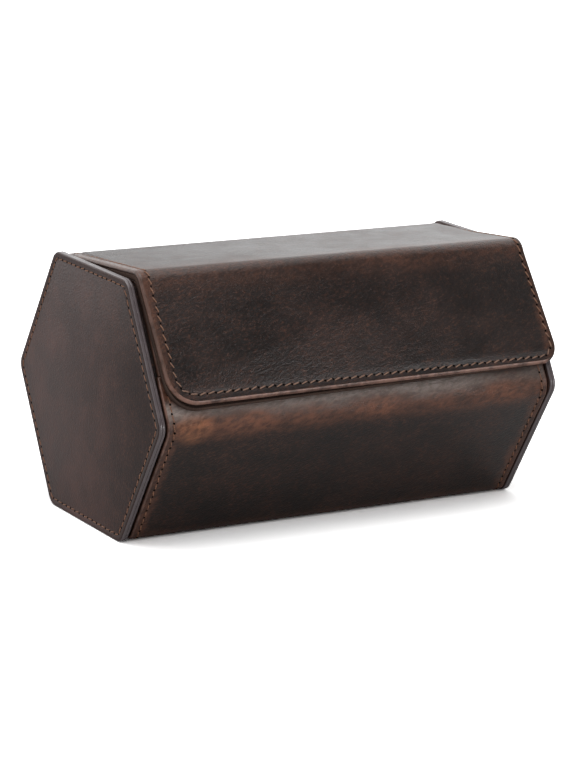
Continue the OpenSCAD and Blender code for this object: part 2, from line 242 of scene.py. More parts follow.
def sizes():
    return bpy.context.scene.case_sizes


def look():
    return bpy.context.scene.case_look


# ---------------------------------------------------------------------------
# Places that come from the frame

def low(node):
    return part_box(node)[0]


def high(node):
    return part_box(node)[1]


def joint_place(name):
    """Where a joint's axis crosses the middle of the case, as a point in the Y-Z plane."""
    joint = next(j for j in frame["joints"] if j["name"] == name)
    return Vector((0, joint["pos_m"][1], joint["pos_m"][2]))


def normal(degrees):
    return Vector((0, math.cos(math.radians(degrees)), math.sin(math.radians(degrees))))


MIDDLE = Vector((0, 0, high("left_end_leather").z / 2))
APOTHEM = MIDDLE.z
SIDE = 2 * APOTHEM / math.sqrt(3)
WRAP_X = high("body_wrap").x
WRAP_INSET = low("body_wrap").z
LEATHER = low("left_gusset").z - WRAP_INSET
LID_LEFT, LID_RIGHT = low("fold_leather").x, high("fold_leather").x
HINGE_AXIS = joint_place("lid_hinge")
FOLD_AXIS = joint_place("flap_fold")
LID_SLOPE = (HINGE_AXIS - FOLD_AXIS).normalized()
LID_ANGLE = math.degrees(math.atan2(LID_SLOPE.y, -LID_SLOPE.z))


def face(degrees, through, out=0.0):
    """A flat face as (normal angle, distance from the middle), through a point or out from it."""
    return degrees, (through - MIDDLE).dot(normal(degrees)) + out


def meet(a, b):
    """The point of the Y-Z plane where two faces meet."""
    (angle_a, dist_a), (angle_b, dist_b) = a, b
    ca, sa = math.cos(math.radians(angle_a)), math.sin(math.radians(angle_a))
    cb, sb = math.cos(math.radians(angle_b)), math.sin(math.radians(angle_b))
    turn = ca * sb - sa * cb
    return MIDDLE + Vector((0, dist_a * sb - dist_b * sa, dist_b * ca - dist_a * cb)) / turn


def inward(flat, depth):
    """The face that lies a depth inside another."""
    return flat[0], flat[1] - depth


UP_SLOPE = Vector((0, math.cos(math.radians(60)), math.sin(math.radians(60))))
FRONT_EDGE = MIDDLE + Vector((0, -SIDE, 0))
LID_FACE = face(LID_ANGLE, HINGE_AXIS, LEATHER / 2)
FLAP_FACE = face(UPPER_FRONT, FOLD_AXIS, LEATHER / 2)
REAR_FACE = face(UPPER_REAR, HINGE_AXIS, LEATHER / 2)
FLAP_TOP = (high("flap_leather") - FRONT_EDGE).dot(UP_SLOPE)


def wrap_faces():
    """The outer faces of the body's leather, which swells where the flap doesn't cover it."""
    inset = WRAP_INSET - sizes().swell
    return [(UPPER_FRONT, APOTHEM - WRAP_INSET)] + [
        (a, APOTHEM - inset) for a in (LOWER_FRONT, BOTTOM, LOWER_REAR)
    ]


def up_front(slope, flat):
    """The point of a face parallel to the upper front, at a distance up from the front edge."""
    point = FRONT_EDGE + slope * UP_SLOPE
    return point + normal(UPPER_FRONT) * (flat[1] - (point - MIDDLE).dot(normal(UPPER_FRONT)))


def back_top(distance, flat=LID_FACE):
    """The point of a face parallel to the lid, at a distance forward from the rear corner."""
    corner = meet(REAR_FACE, LID_FACE)
    point = corner - distance * LID_SLOPE
    return point + normal(LID_ANGLE) * (flat[1] - (point - MIDDLE).dot(normal(LID_ANGLE)))


# ---------------------------------------------------------------------------
# Modelling by hand

def clear_selection():
    if bpy.context.object and bpy.context.object.mode != "OBJECT":
        bpy.ops.object.mode_set(mode="OBJECT")
    bpy.ops.object.select_all(action="DESELECT")


def take(piece):
    """Makes a piece the only one selected."""
    clear_selection()
    piece.select_set(True)
    bpy.context.view_layer.objects.active = piece


def edit(piece):
    take(piece)
    bpy.ops.object.mode_set(mode="EDIT")
    bpy.ops.mesh.select_all(action="SELECT")


def done():
    bpy.ops.object.mode_set(mode="OBJECT")


def pick(piece, kind, test):
    """Selects the vertices, edges or faces, in edit mode, that pass a test."""
    bpy.ops.mesh.select_mode(type=kind)
    bpy.ops.mesh.select_all(action="DESELECT")
    shape = bmesh.from_edit_mesh(piece.data)
    shape.normal_update()
    for item in {"VERT": shape.verts, "EDGE": shape.edges, "FACE": shape.faces}[kind]:
        if test(item):
            item.select_set(True)
    shape.select_flush_mode()
    bmesh.update_edit_mesh(piece.data)


def named(name):
    """Names the primitive that was just added, and applies its place."""
    piece = bpy.context.object
    piece.name = name
    piece.data.name = name
    bpy.ops.object.transform_apply(location=True, rotation=True, scale=True)
    return piece


def modify(piece, kind, **settings):
    """Adds a modifier, sets it and applies it."""
    take(piece)
    bpy.ops.object.modifier_add(type=kind)
    modifier = piece.modifiers[-1]
    for key, value in settings.items():
        setattr(modifier, key, value)
    bpy.ops.object.modifier_apply(modifier=modifier.name)


def smooth(piece, degrees=35):
    take(piece)
    bpy.ops.object.shade_smooth_by_angle(angle=math.radians(degrees))


def move(by):
    bpy.ops.transform.translate(value=by)


def join(first, others):
    """Joins other objects into the first."""
    take(first)
    for other in others:
        other.select_set(True)
    bpy.ops.object.join()
    return first


def bevel(width, segments, affect="EDGES", material=-1):
    """Rounds the selected edges or corners."""
    bpy.ops.mesh.bevel(
        offset_type="OFFSET", offset=width, segments=segments, profile=0.5, affect=affect,
        material=material, clamp_overlap=False,
    )


def cut(piece, point, direction, keep_all=True, is_part=lambda f: True):
    """Cuts a part of a piece along a plane.

    Unless it is all kept, what lies ahead of the plane goes, and the cut is closed."""
    pick(piece, "FACE", is_part)
    bpy.ops.mesh.bisect(
        plane_co=point, plane_no=direction, clear_outer=not keep_all, use_fill=not keep_all,
        threshold=1e-6,
    )


# Finishes of a sheet: its outside, its cut edges, its back and its arrises, lightened as painted highlight
SHEET = ("body_leather", "burnished_edge", "flesh_side", "rubbed_lit_arris")
# Segments of a rounded fold, of a rounded arris and of a rounded corner of the flap
FOLD_STEPS, ARRIS_STEPS, CORNER_STEPS = 8, 4, 12


def fold_sheet(name, line, left, right, materials=SHEET):
    """A sheet from left to right, folded sharply along a line of points of the Y-Z plane."""
    clear_selection()
    bpy.ops.mesh.primitive_plane_add(size=1)
    sheet = named(name)
    for material in materials:
        sheet.data.materials.append(MATERIALS[material])
    edit(sheet)
    bpy.ops.transform.resize(value=(right - left, 1, 1), center_override=(0, 0, 0))
    move(((left + right) / 2, 0, 0))
    half = Vector((0, 0.5, 0))
    pick(sheet, "EDGE", lambda e: all(v.co.y < -0.4 for v in e.verts))
    move(line[0] + half)
    pick(sheet, "EDGE", lambda e: all(v.co.y > 0.4 for v in e.verts))
    move(line[1] - half)
    for here, there in zip(line[1:], line[2:]):
        bpy.ops.mesh.extrude_region_move(TRANSFORM_OT_translate={"value": there - here})
    panel = bmesh.from_edit_mesh(sheet.data).faces[:1][0]
    if panel.normal.dot(panel.calc_center_median() - MIDDLE) < 0:
        bpy.ops.mesh.select_all(action="SELECT")
        bpy.ops.mesh.flip_normals()
    done()
    return sheet


def on_line(edge, corner):
    """Whether an edge runs along the case through a point of the Y-Z plane."""
    return all((Vector((0, v.co.y, v.co.z)) - corner).length < 1e-5 for v in edge.verts)


def turn_at(line, i):
    """How much a line of points turns at one of them."""
    return (line[i] - line[i - 1]).angle(line[i + 1] - line[i])


def round_folds(sheet, line, radii):
    """Rounds a sheet's folds, the first at line[1], to outside radii."""
    edit(sheet)
    for i, radius in enumerate(radii, start=1):
        pick(sheet, "EDGE", lambda e: on_line(e, line[i]))
        bevel(radius * math.tan(turn_at(line, i) / 2), FOLD_STEPS)
    done()


def thicken(sheet, thickness, offset=-1):
    """Gives a sheet its thickness. The cut edge gets the second material and the back the third."""
    modify(
        sheet, "SOLIDIFY", thickness=thickness, offset=offset, use_even_offset=True,
        use_quality_normals=True, material_offset_rim=1, material_offset=2,
    )


def groove(piece, border, is_face, shift=None):
    """Presses a stitching groove into some faces, a border in from their edge, moved by shift."""
    s = sizes()
    edit(piece)
    pick(piece, "FACE", is_face)
    steps = [
        (border - s.groove_floor / 2 - s.groove_wall, 0),
        (s.groove_wall, -s.groove),
        (s.groove_floor, 0),
        (s.groove_wall, s.groove),
    ]
    for i, (width, depth) in enumerate(steps):
        bpy.ops.mesh.inset(thickness=width, depth=depth, use_boundary=True, use_even_offset=True)
        if shift and i == 0:
            shape = bmesh.from_edit_mesh(piece.data)
            for vertex in {v for f in shape.faces if f.select for v in f.verts}:
                vertex.co += shift(vertex.co)
            bmesh.update_edit_mesh(piece.data)
    done()


def round_edges(piece, width, steps=3, degrees=50):
    """Rounds the edges of a piece that turn more than some degrees."""
    modify(
        piece, "BEVEL", width=width, segments=steps, limit_method="ANGLE",
        angle_limit=math.radians(degrees), use_clamp_overlap=True, harden_normals=False,
    )


def round_arrises(piece, outer, inner):
    """Rounds both arrises of a sheet's cut edge, the outside one in the rubbed finish that also paints its
    highlight.
    """
    edit(piece)
    rubbed_and_lit = SHEET.index("rubbed_lit_arris")
    for sides, width, material in (({0, 1}, outer, rubbed_and_lit), ({1, 2}, inner, -1)):
        pick(piece, "EDGE", lambda e: {f.material_index for f in e.link_faces} == sides)
        bevel(width, ARRIS_STEPS, material=material)
    done()


def keep_rest(piece):
    """Stores where each point is at rest, so that the finish stays on soft leather as it bends."""
    attribute = piece.data.attributes.get("rest") or piece.data.attributes.new(
        "rest", "FLOAT_VECTOR", "POINT"
    )
    for point, vertex in zip(attribute.data, piece.data.vertices):
        point.vector = vertex.co


def finish_piece(piece, nodes=(), body=None, bend=None):
    """Stores a finished piece's rest places, hides the nodes that it stands for, and attaches it to its body, or
    bakes its place in if it has a bend.
    """
    keep_rest(piece)
    clear_selection()
    if nodes:
        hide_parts(*nodes)
    if bend:
        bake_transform(piece)
    else:
        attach(piece, body)


def copy_node(node, name, material):
    """A copy of a plain node in another finish, in edit mode, with its split corners joined."""
    clear_selection()
    source = frame["nodes"][node]
    piece = bpy.data.objects.new(name, source.data.copy())
    piece.data.transform(source.matrix_world)
    piece.data.name = name
    bpy.context.collection.objects.link(piece)
    piece.data.materials.clear()
    piece.data.materials.append(MATERIALS[material])
    edit(piece)
    bpy.ops.mesh.remove_doubles(threshold=1e-6)
    return piece


# ---------------------------------------------------------------------------
# Sewing

class Development:
    """The flat pattern of a folded sheet: where a length along it lies once it is folded."""

    def __init__(self, line, radii):
        self.runs = []
        start = line[0]
        for i, radius in enumerate(list(radii) + [0], start=1):
            along = (line[i] - line[i - 1]).normalized()
            out = Vector((0, -along.z, along.y))
            if out.dot(line[i] + line[i - 1] - 2 * MIDDLE) < 0:
                out = -out
            turn = turn_at(line, i) if i < len(line) - 1 else 0
            stop = line[i] - along * radius * math.tan(turn / 2)
            self.runs.append(((stop - start).length, start, along, out, 0, 0))
            if turn:
                sense = 1 if along.cross(line[i + 1] - line[i]).x > 0 else -1
                self.runs.append((radius * turn, stop, along, out, radius, sense))
                after = (line[i + 1] - line[i]).normalized()
                start = line[i] + after * radius * math.tan(turn / 2)

    def total(self):
        return sum(run[0] for run in self.runs)

    def at(self, s):
        """Place, direction along the sheet, and outward normal."""
        for run in self.runs:
            span, start, along, out, radius, sense = run
            if s <= span or run is self.runs[-1]:
                break
            s -= span
        if not radius:
            return start + along * s, along, out
        turn = Matrix.Rotation(sense * s / radius, 3, "X")
        return start - out * radius + turn @ out * radius, turn @ along, turn @ out


# Steps of a rounded corner of a seam
ARC_STEPS = 8


def even_path(points, radii, pitch, closed=False):
    """Places at an even pitch along a flat line with rounded corners, with their directions."""
    count = len(points)
    track = []
    for i, point in enumerate(points):
        if not closed and i in (0, count - 1):
            track.append(point)
            continue
        before = (point - points[i - 1]).normalized()
        after = (points[(i + 1) % count] - point).normalized()
        turn = before.angle_signed(after)
        radius = radii[i]
        reach = radius * math.tan(abs(turn) / 2)
        inside = Vector((-before.y, before.x)) * (1 if turn < 0 else -1)
        centre = point - before * reach + inside * radius
        for k in range(ARC_STEPS + 1):
            turned = Matrix.Rotation(-turn * k / ARC_STEPS, 2) @ (-inside * radius)
            track.append(centre + turned)
    if closed:
        track.append(track[0])
    spans = [(b - a).length for a, b in zip(track, track[1:])]
    whole = sum(spans)
    steps = round(whole / pitch)
    places, i, passed = [], 0, 0.0
    for k in range(steps):
        wanted = (k + 0.5) * whole / steps
        while passed + spans[i] < wanted:
            passed += spans[i]
            i += 1
        along = (track[i + 1] - track[i]).normalized()
        places.append((track[i] + along * (wanted - passed), along))
    return places


# A stitch: the share of its needle hole that it leaves free, how many of its thicknesses it stands
# up in the middle, and how many it sinks in between two shares of its half length
HOLE_FREE, STITCH_RISE = 0.35, 0.1
STITCH_SINKS = ((0.9, 2.0, 0.7), (0.4, 0.9, 0.12))
HOLE_LIFT = 0.00003
# How far a stitch sewn by hand strays, and how much it turns
STRAY, STRAY_TURN = 0.00007, 0.06


def model_stitch(name, slant, thread, size):
    """One stitch along +X with its needle hole, a flat disc of painted shade, on a surface that faces +Z."""
    s = sizes()
    half = (s.pitch - s.hole * HOLE_FREE) / 2
    clear_selection()
    bpy.ops.mesh.primitive_cylinder_add(
        vertices=6, radius=size / 2, depth=2 * half, location=(0, 0, size * STITCH_RISE),
        rotation=(0, math.pi / 2, 0), end_fill_type="NGON",
    )
    stitch = named(name)
    edit(stitch)
    pick(stitch, "EDGE", lambda e: abs(e.verts[0].co.x - e.verts[1].co.x) > half)
    bpy.ops.mesh.subdivide(number_cuts=3)
    for start, stop, sink in STITCH_SINKS:
        pick(stitch, "VERT", lambda v: start * half < abs(v.co.x) < stop * half)
        move((0, 0, -size * sink))
    done()
    stitch.data.transform(Matrix.Rotation(slant, 4, "Z"))
    for panel in stitch.data.polygons:
        panel.use_smooth = True
    clear_selection()
    # The needle hole: a flat disc painted dark, as the shade inside a hole
    bpy.ops.mesh.primitive_circle_add(
        vertices=10, radius=s.hole / 2, fill_type="NGON", location=(s.pitch / 2, 0, HOLE_LIFT)
    )
    hole = named(f"{name}_hole")
    stitch.data.materials.append(MATERIALS[thread])
    hole.data.materials.append(MATERIALS["needle_hole_shade"])
    return join(stitch, [hole])


def sew(name, frames, slot, slant=9, thread="shaded_thread", size=None, body=None, bend=None):
    """Copies a stitch to each frame, given as (place, direction, outward normal), as one piece."""
    stitch = model_stitch(name, math.radians(slant), thread, size or sizes().thread)
    copies = []
    hand = random.Random(len(frames))
    for place, along, out in frames:
        across = out.cross(along).normalized()
        place = place + across * hand.gauss(0, STRAY)
        along = (along + across * hand.gauss(0, STRAY_TURN)).normalized()
        across = out.cross(along).normalized()
        turned = Matrix((along, across, out)).transposed().to_4x4()
        copy = stitch.copy()
        copy.data = stitch.data.copy()
        copy.data.transform(Matrix.Translation(place) @ turned)
        bpy.context.collection.objects.link(copy)
        copies.append(copy)
    bpy.data.objects.remove(stitch)
    seam = join(copies[0], copies)
    seam.name = seam.data.name = name
    finish_piece(seam, body=body, bend=bend)


def sew_sheet(name, pattern, border, radii, sunk=0.0, **how):
    """Sews through a folded sheet, along a border that is drawn on its flat pattern."""
    frames = []
    for flat, along in even_path(border, radii, sizes().pitch):
        place, forward, out = pattern.at(flat.y)
        place = place + Vector((flat.x, 0, 0)) - out * sunk
        frames.append((place, (forward * along.y + Vector((along.x, 0, 0))).normalized(), out))
    sew(name, frames, "body_leather", **how)


# ---------------------------------------------------------------------------
# Finishes

MATERIALS = {}


class Tree:
    """A node tree, built a step at a time. Its patterns are read at its place, a vector."""

    def __init__(self, tree):
        self.tree = tree
        self.place = None

    def add(self, kind, **settings):
        node = self.tree.nodes.new(kind)
        for key, value in settings.items():
            setattr(node, key, value)
        return node

    def feed(self, socket, value):
        """Links a socket to an output, or sets it to a number, a vector or a colour."""
        if isinstance(value, bpy.types.NodeSocket):
            self.tree.links.new(value, socket)
        elif socket.type == "RGBA":
            socket.default_value = (*value, 1)
        else:
            socket.default_value = value

    def run(self, node, *values):
        """Feeds a node's inputs in their order, and gives its first output."""
        for socket, value in zip(node.inputs, values):
            self.feed(socket, value)
        return node.outputs[0]

    def math(self, operation, *values):
        return self.run(self.add("ShaderNodeMath", operation=operation), *values)

    def times(self, a, b):
        return self.math("MULTIPLY", a, b)

    def plus(self, a, b):
        return self.math("ADD", a, b)

    def minus(self, a, b):
        return self.math("SUBTRACT", a, b)

    def span(self, value, start, stop, first=0.0, last=1.0):
        """Runs smoothly from first to last as a value runs from start to stop."""
        node = self.add("ShaderNodeMapRange", interpolation_type="SMOOTHSTEP")
        return self.run(node, value, start, stop, first, last)

    def vector(self, operation, a, b, output="Value"):
        node = self.add("ShaderNodeVectorMath", operation=operation)
        self.run(node, a, b)
        return node.outputs[output]

    def axis(self, name):
        node = self.add("ShaderNodeSeparateXYZ")
        self.run(node, self.place)
        return node.outputs[name]


class Recipe(Tree):
    """A material whose patterns stay on a piece as it was at rest, or else on the object."""

    def __init__(self, name, on_rest=True):
        self.material = bpy.data.materials.new(name)
        self.material.use_nodes = True
        super().__init__(self.material.node_tree)
        self.shader = self.tree.nodes["Principled BSDF"]
        if on_rest:
            self.place = self.add("ShaderNodeAttribute", attribute_name="rest").outputs["Vector"]
        else:
            self.place = self.add("ShaderNodeTexCoord").outputs["Object"]
        MATERIALS[name] = self.material

    def mix(self, share, a, b):
        node = self.add("ShaderNodeMix", data_type="RGBA")
        for index, value in ((0, share), (6, a), (7, b)):
            self.feed(node.inputs[index], value)
        return node.outputs[2]

    def stretched(self, along, across=1.0, slant=0):
        """The place, for a pattern drawn out along the case and slanted by some degrees."""
        node = self.add("ShaderNodeMapping", vector_type="TEXTURE")
        for key, value in (
            ("Vector", self.place), ("Rotation", (0, -math.radians(slant), 0)),
            ("Scale", (along, across, across)),
        ):
            self.feed(node.inputs[key], value)
        return node.outputs[0]

    def noise(self, scale, detail=2.0, roughness=0.5, distortion=0.0, place=None):
        node = self.add("ShaderNodeTexNoise")
        for key, value in (
            ("Vector", place or self.place), ("Scale", scale), ("Detail", detail),
            ("Roughness", roughness), ("Distortion", distortion),
        ):
            self.feed(node.inputs[key], value)
        return node.outputs["Fac"]

    def cells(self, scale):
        node = self.add("ShaderNodeTexVoronoi")
        self.feed(node.inputs["Vector"], self.place)
        self.feed(node.inputs["Scale"], scale)
        return node.outputs["Distance"]

    def from_line(self, point):
        """Distance from a line that runs along the case through a point of the Y-Z plane."""
        flat = self.vector("MULTIPLY", self.place, (0, 1, 1), "Vector")
        return self.vector("DISTANCE", flat, point)

    def bump(self, height, distance, strength=1.0, under=None):
        node = self.add("ShaderNodeBump")
        for key, value in (("Height", height), ("Distance", distance), ("Strength", strength)):
            self.feed(node.inputs[key], value)
        if under is not None:
            self.feed(node.inputs["Normal"], under)
        return node.outputs[0]

    def paint(self, **sockets):
        """Sets or links the shader's own sockets. An underscore stands for a space."""
        for key, value in sockets.items():
            self.feed(self.shader.inputs[key.replace("_", " ")], value)


def shade(tint, share):
    return [share * x for x in tint]


# Leather that has lost wax: along a fold, with its share at the left and at the right; along both
# sides of a sheet; and where it has gone altogether. A pale band along the front edge is painted
# highlight, given as wax that blooms pale. Each is whole within its inner distance and ends at its
# outer one.
Fold = namedtuple("Fold", "point inner outer left right")
Sides = namedtuple("Sides", "middle half inner outer share")
BloomAndHighlight = namedtuple("BloomAndHighlight", "point inner outer share")
Patch = namedtuple("Patch", "point outer share")

# How the leather's fine pattern slants, in degrees, and between which values its streaks fade
SLANT = 24
STREAKS = (0.36, 0.64)
# How much of its reach the wear's edge wanders, either way
RAGGED = 0.22
# Where along the case the shares at its left and its right are whole
SHARE_ENDS = (-0.07, 0.07)
# Between where along the case the painted highlight of the front edge fades, and to what share
HIGHLIGHT_FADE = (0.03, 0.09, 1.0, 0.45)
# Between where, front to back, painted shade darkens an end towards its front
PAINTED_SHADE_SPAN = (-0.05, 0.01)


def leather_grain(r, strength=1.0):
    """The bump of waxed leather: pores, fine slanting creases and a slow unevenness."""
    pores = r.span(r.cells(1300), 0.1, 0.6)
    place = r.stretched(1.8, 0.8, SLANT)
    creases = r.noise(780, detail=4, roughness=0.6, distortion=0.3, place=place)
    slow = r.noise(55, detail=3, distortion=0.5)
    under = r.bump(slow, 0.0009, strength * 0.4)
    under = r.bump(creases, 0.0002, strength, under)
    return r.bump(pores, 0.00007, strength * 0.7, under)


def wear_and_highlight(r, distance, wear_and_light_band, patches):
    """How much of the wax has gone at a distance from where it wears, and likewise how strong the painted
    highlight is: all, to none, and patchy.
    """
    reach = RAGGED * wear_and_light_band.outer
    ragged = r.plus(distance, r.span(patches, 0.25, 0.75, -reach, reach))
    return r.span(ragged, wear_and_light_band.inner, wear_and_light_band.outer, 1.0, 0.0)


def pulled_apart(r, folds, sides, patches):
    """How much the wax is pulled apart, along the folds and the sides."""
    pulled = 0.0
    for fold in folds:
        share = r.span(r.axis("X"), *SHARE_ENDS, fold.left, fold.right)
        mask = r.times(wear_and_highlight(r, r.from_line(fold.point), fold, patches), share)
        pulled = r.math("MAXIMUM", mask, pulled)
    if sides:
        from_middle = r.math("ABSOLUTE", r.minus(r.axis("X"), sides.middle))
        mask = wear_and_highlight(r, r.minus(sides.half, from_middle), sides, patches)
        pulled = r.math("MAXIMUM", r.times(mask, sides.share), pulled)
    return pulled


def waxed_leather(
    name, folds=(), sides=None, bloom_and_highlight=None, patch=None, tints=None, painted_shade=0.0, strength=1.0,
    shine=0.5, on_rest=True,
):
    """Waxed leather that is clouded and streaked, and lightens to red brown where it wears, with painted shade
    towards an end's front and a painted highlight along the front edge if asked.
    """
    c = look()
    wax, brown = tints or (c.wax, c.brown)
    r = Recipe(name, on_rest)
    clouds = r.noise(26, detail=3, roughness=0.55)
    mottle = r.noise(110, detail=5, roughness=0.65, distortion=0.4)
    place = r.stretched(1.9, 0.75, SLANT)
    streaks = r.noise(430, detail=4, roughness=0.7, distortion=0.3, place=place)
    flecks = r.noise(850, detail=3, roughness=0.65, place=r.stretched(1.5, 0.8, SLANT))
    lines = r.noise(330, detail=3, roughness=0.6, distortion=0.8, place=r.stretched(2.4, 0.6, 20))
    blotch = r.plus(r.times(clouds, 0.6), r.times(mottle, 0.4))
    coloured = r.mix(r.span(blotch, 0.4, 0.68), wax, brown)
    # Painted shade: darker towards an end's front
    if painted_shade:
        coloured = r.mix(r.span(r.axis("Y"), *PAINTED_SHADE_SPAN, painted_shade, 0.0), coloured, c.wax)
    pulled = pulled_apart(r, folds, sides, mottle)
    pulled = r.times(pulled, r.span(streaks, *STREAKS, 0.3))
    pulled = r.times(pulled, r.span(clouds, 0.35, 0.7, 0.5))
    coloured = r.mix(pulled, coloured, c.pull)
    if patch:
        apart = r.vector("DISTANCE", r.place, patch.point)
        mask = r.span(apart, 0, patch.outer, patch.share, 0.0)
        mask = r.times(mask, r.span(mottle, 0.35, 0.6, 0.3))
        coloured = r.mix(r.times(mask, r.span(streaks, *STREAKS, 0.5)), coloured, c.raw)
    # Painted highlight along the front edge, given as pale wax bloom, fading to the right
    if bloom_and_highlight:
        mask = r.times(wear_and_highlight(r, r.from_line(bloom_and_highlight.point), bloom_and_highlight, clouds), bloom_and_highlight.share)
        mask = r.times(mask, r.span(r.axis("X"), *HIGHLIGHT_FADE))
        coloured = r.mix(r.times(mask, r.span(streaks, *STREAKS, 0.6)), coloured, c.bloom_and_highlight)
    mask = r.times(r.span(flecks, 0.5, 0.72), r.span(mottle, 0.35, 0.65, 0.1, 0.34))
    coloured = r.mix(mask, coloured, c.pull)
    lines = r.span(r.math("ABSOLUTE", r.minus(lines, 0.5)), 0.0, 0.022, 1.0, 0.0)
    coloured = r.mix(r.times(lines, r.span(clouds, 0.35, 0.65, 0.08, 0.3)), coloured, c.pull)
    r.paint(
        Base_Color=coloured,
        Roughness=r.plus(r.span(blotch, 0.3, 0.7, 0.3, 0.42), r.times(pulled, 0.16)),
        Normal=leather_grain(r, strength),
        Specular_IOR_Level=shine,
    )


def edge_paint(tint):
    r = Recipe("edge_paint")
    uneven = r.noise(300, detail=3)
    r.paint(
        Base_Color=r.mix(uneven, shade(tint, 0.8), shade(tint, 1.25)),
        Roughness=r.span(uneven, 0.3, 0.7, 0.28, 0.42),
        Specular_IOR_Level=0.9,
        Normal=r.bump(r.noise(500, detail=3), 0.00012, 0.5),
    )


def burnished_edge(tint):
    r = Recipe("burnished_edge")
    lines = r.noise(700, detail=4, place=r.stretched(6))
    r.paint(
        Base_Color=r.mix(r.span(lines, 0.35, 0.65), shade(tint, 0.5), tint),
        Roughness=0.34,
        Normal=r.bump(lines, 0.00012, 0.5),
    )


def rubbed_lit_arris(line):
    """The light arris of a cut edge, rubbed and painted as highlight, most along a line. Past the body's right end
    it keeps the darker burnish, as painted shade.
    """
    r = Recipe("rubbed_lit_arris")
    bare_and_lit = r.span(r.noise(160, detail=4, roughness=0.7), 0.3, 0.65)
    bare_and_lit = r.times(bare_and_lit, r.span(r.from_line(line), 0.012, 0.024, 1.0, 0.4))
    # Painted shade: past the body's right end the arris stays dark
    bare_and_lit = r.times(bare_and_lit, r.span(r.axis("X"), WRAP_X, WRAP_X + 0.002, 1.0, 0.0))
    r.paint(
        Base_Color=r.mix(bare_and_lit, look().burnish, look().rubbed_and_lit),
        Roughness=0.3,
        Normal=leather_grain(r, 0.6),
    )


def napped(name, tint, sheen, on_rest=True):
    """Suede: a short nap that catches the light, brushed in patches."""
    r = Recipe(name, on_rest)
    nap = r.noise(2200, detail=3, roughness=0.7)
    brushed = r.noise(60, detail=3, distortion=0.6)
    tone = r.plus(r.times(nap, 0.6), r.times(brushed, 0.4))
    r.paint(
        Base_Color=r.mix(r.span(tone, 0.3, 0.7), shade(tint, 0.6), shade(tint, 1.35)),
        Roughness=0.95,
        Normal=r.bump(nap, 0.0003, 0.8, r.bump(brushed, 0.0006, 0.3)),
        Specular_IOR_Level=0.15,
        Sheen_Weight=sheen,
        Sheen_Roughness=0.45,
        Sheen_Tint=tint,
    )


def sewing_thread(name, tint, shaded_tint=None, line=None):
    """Twisted thread. If a line is given, it keeps its own tint near the line as painted highlight and takes the
    shaded tint away from it.
    """
    r = Recipe(name)
    wave = r.add("ShaderNodeTexWave", wave_type="BANDS", bands_direction="DIAGONAL")
    for key, value in (("Vector", r.place), ("Scale", 900), ("Distortion", 1.5)):
        r.feed(wave.inputs[key], value)
    twist = wave.outputs["Fac"]
    aged_and_lit = r.mix(r.noise(55), shade(tint, 0.7), shade(tint, 1.2))
    if line:
        # Painted highlight near the line, shaded tint away from it
        aged_and_lit = r.mix(r.span(r.from_line(line), 0.015, 0.03), aged_and_lit, shaded_tint)
    r.paint(
        Base_Color=r.mix(r.span(twist, 0.2, 0.9), aged_and_lit, shade(tint, 0.55)),
        Roughness=0.6,
        Normal=r.bump(twist, 0.00008, 0.6),
    )


def needle_hole_shade():
    r = Recipe("needle_hole_shade")
    r.paint(
        Base_Color=r.mix(r.noise(800), look().hole_deep_shade, look().hole),
        Roughness=0.95,
        Specular_IOR_Level=0.05,
    )


def pressed_board(tint):
    r = Recipe("board", on_rest=False)
    fibres = r.noise(900, detail=4, place=r.stretched(3))
    r.paint(
        Base_Color=r.mix(fibres, shade(tint, 0.7), tint),
        Roughness=0.9,
        Normal=r.bump(fibres, 0.0001, 0.5),
    )


def open_foam(tint):
    r = Recipe("foam", on_rest=False)
    pores = r.cells(900)
    r.paint(
        Base_Color=r.mix(r.span(pores, 0.1, 0.5), shade(tint, 0.55), tint),
        Roughness=0.95,
        Normal=r.bump(pores, 0.0004, 0.8),
    )


def nickel_plate(tint):
    r = Recipe("magnet", on_rest=False)
    r.paint(
        Base_Color=tint,
        Metallic=1.0,
        Roughness=r.span(r.noise(400, detail=3), 0.3, 0.7, 0.22, 0.35),
    )


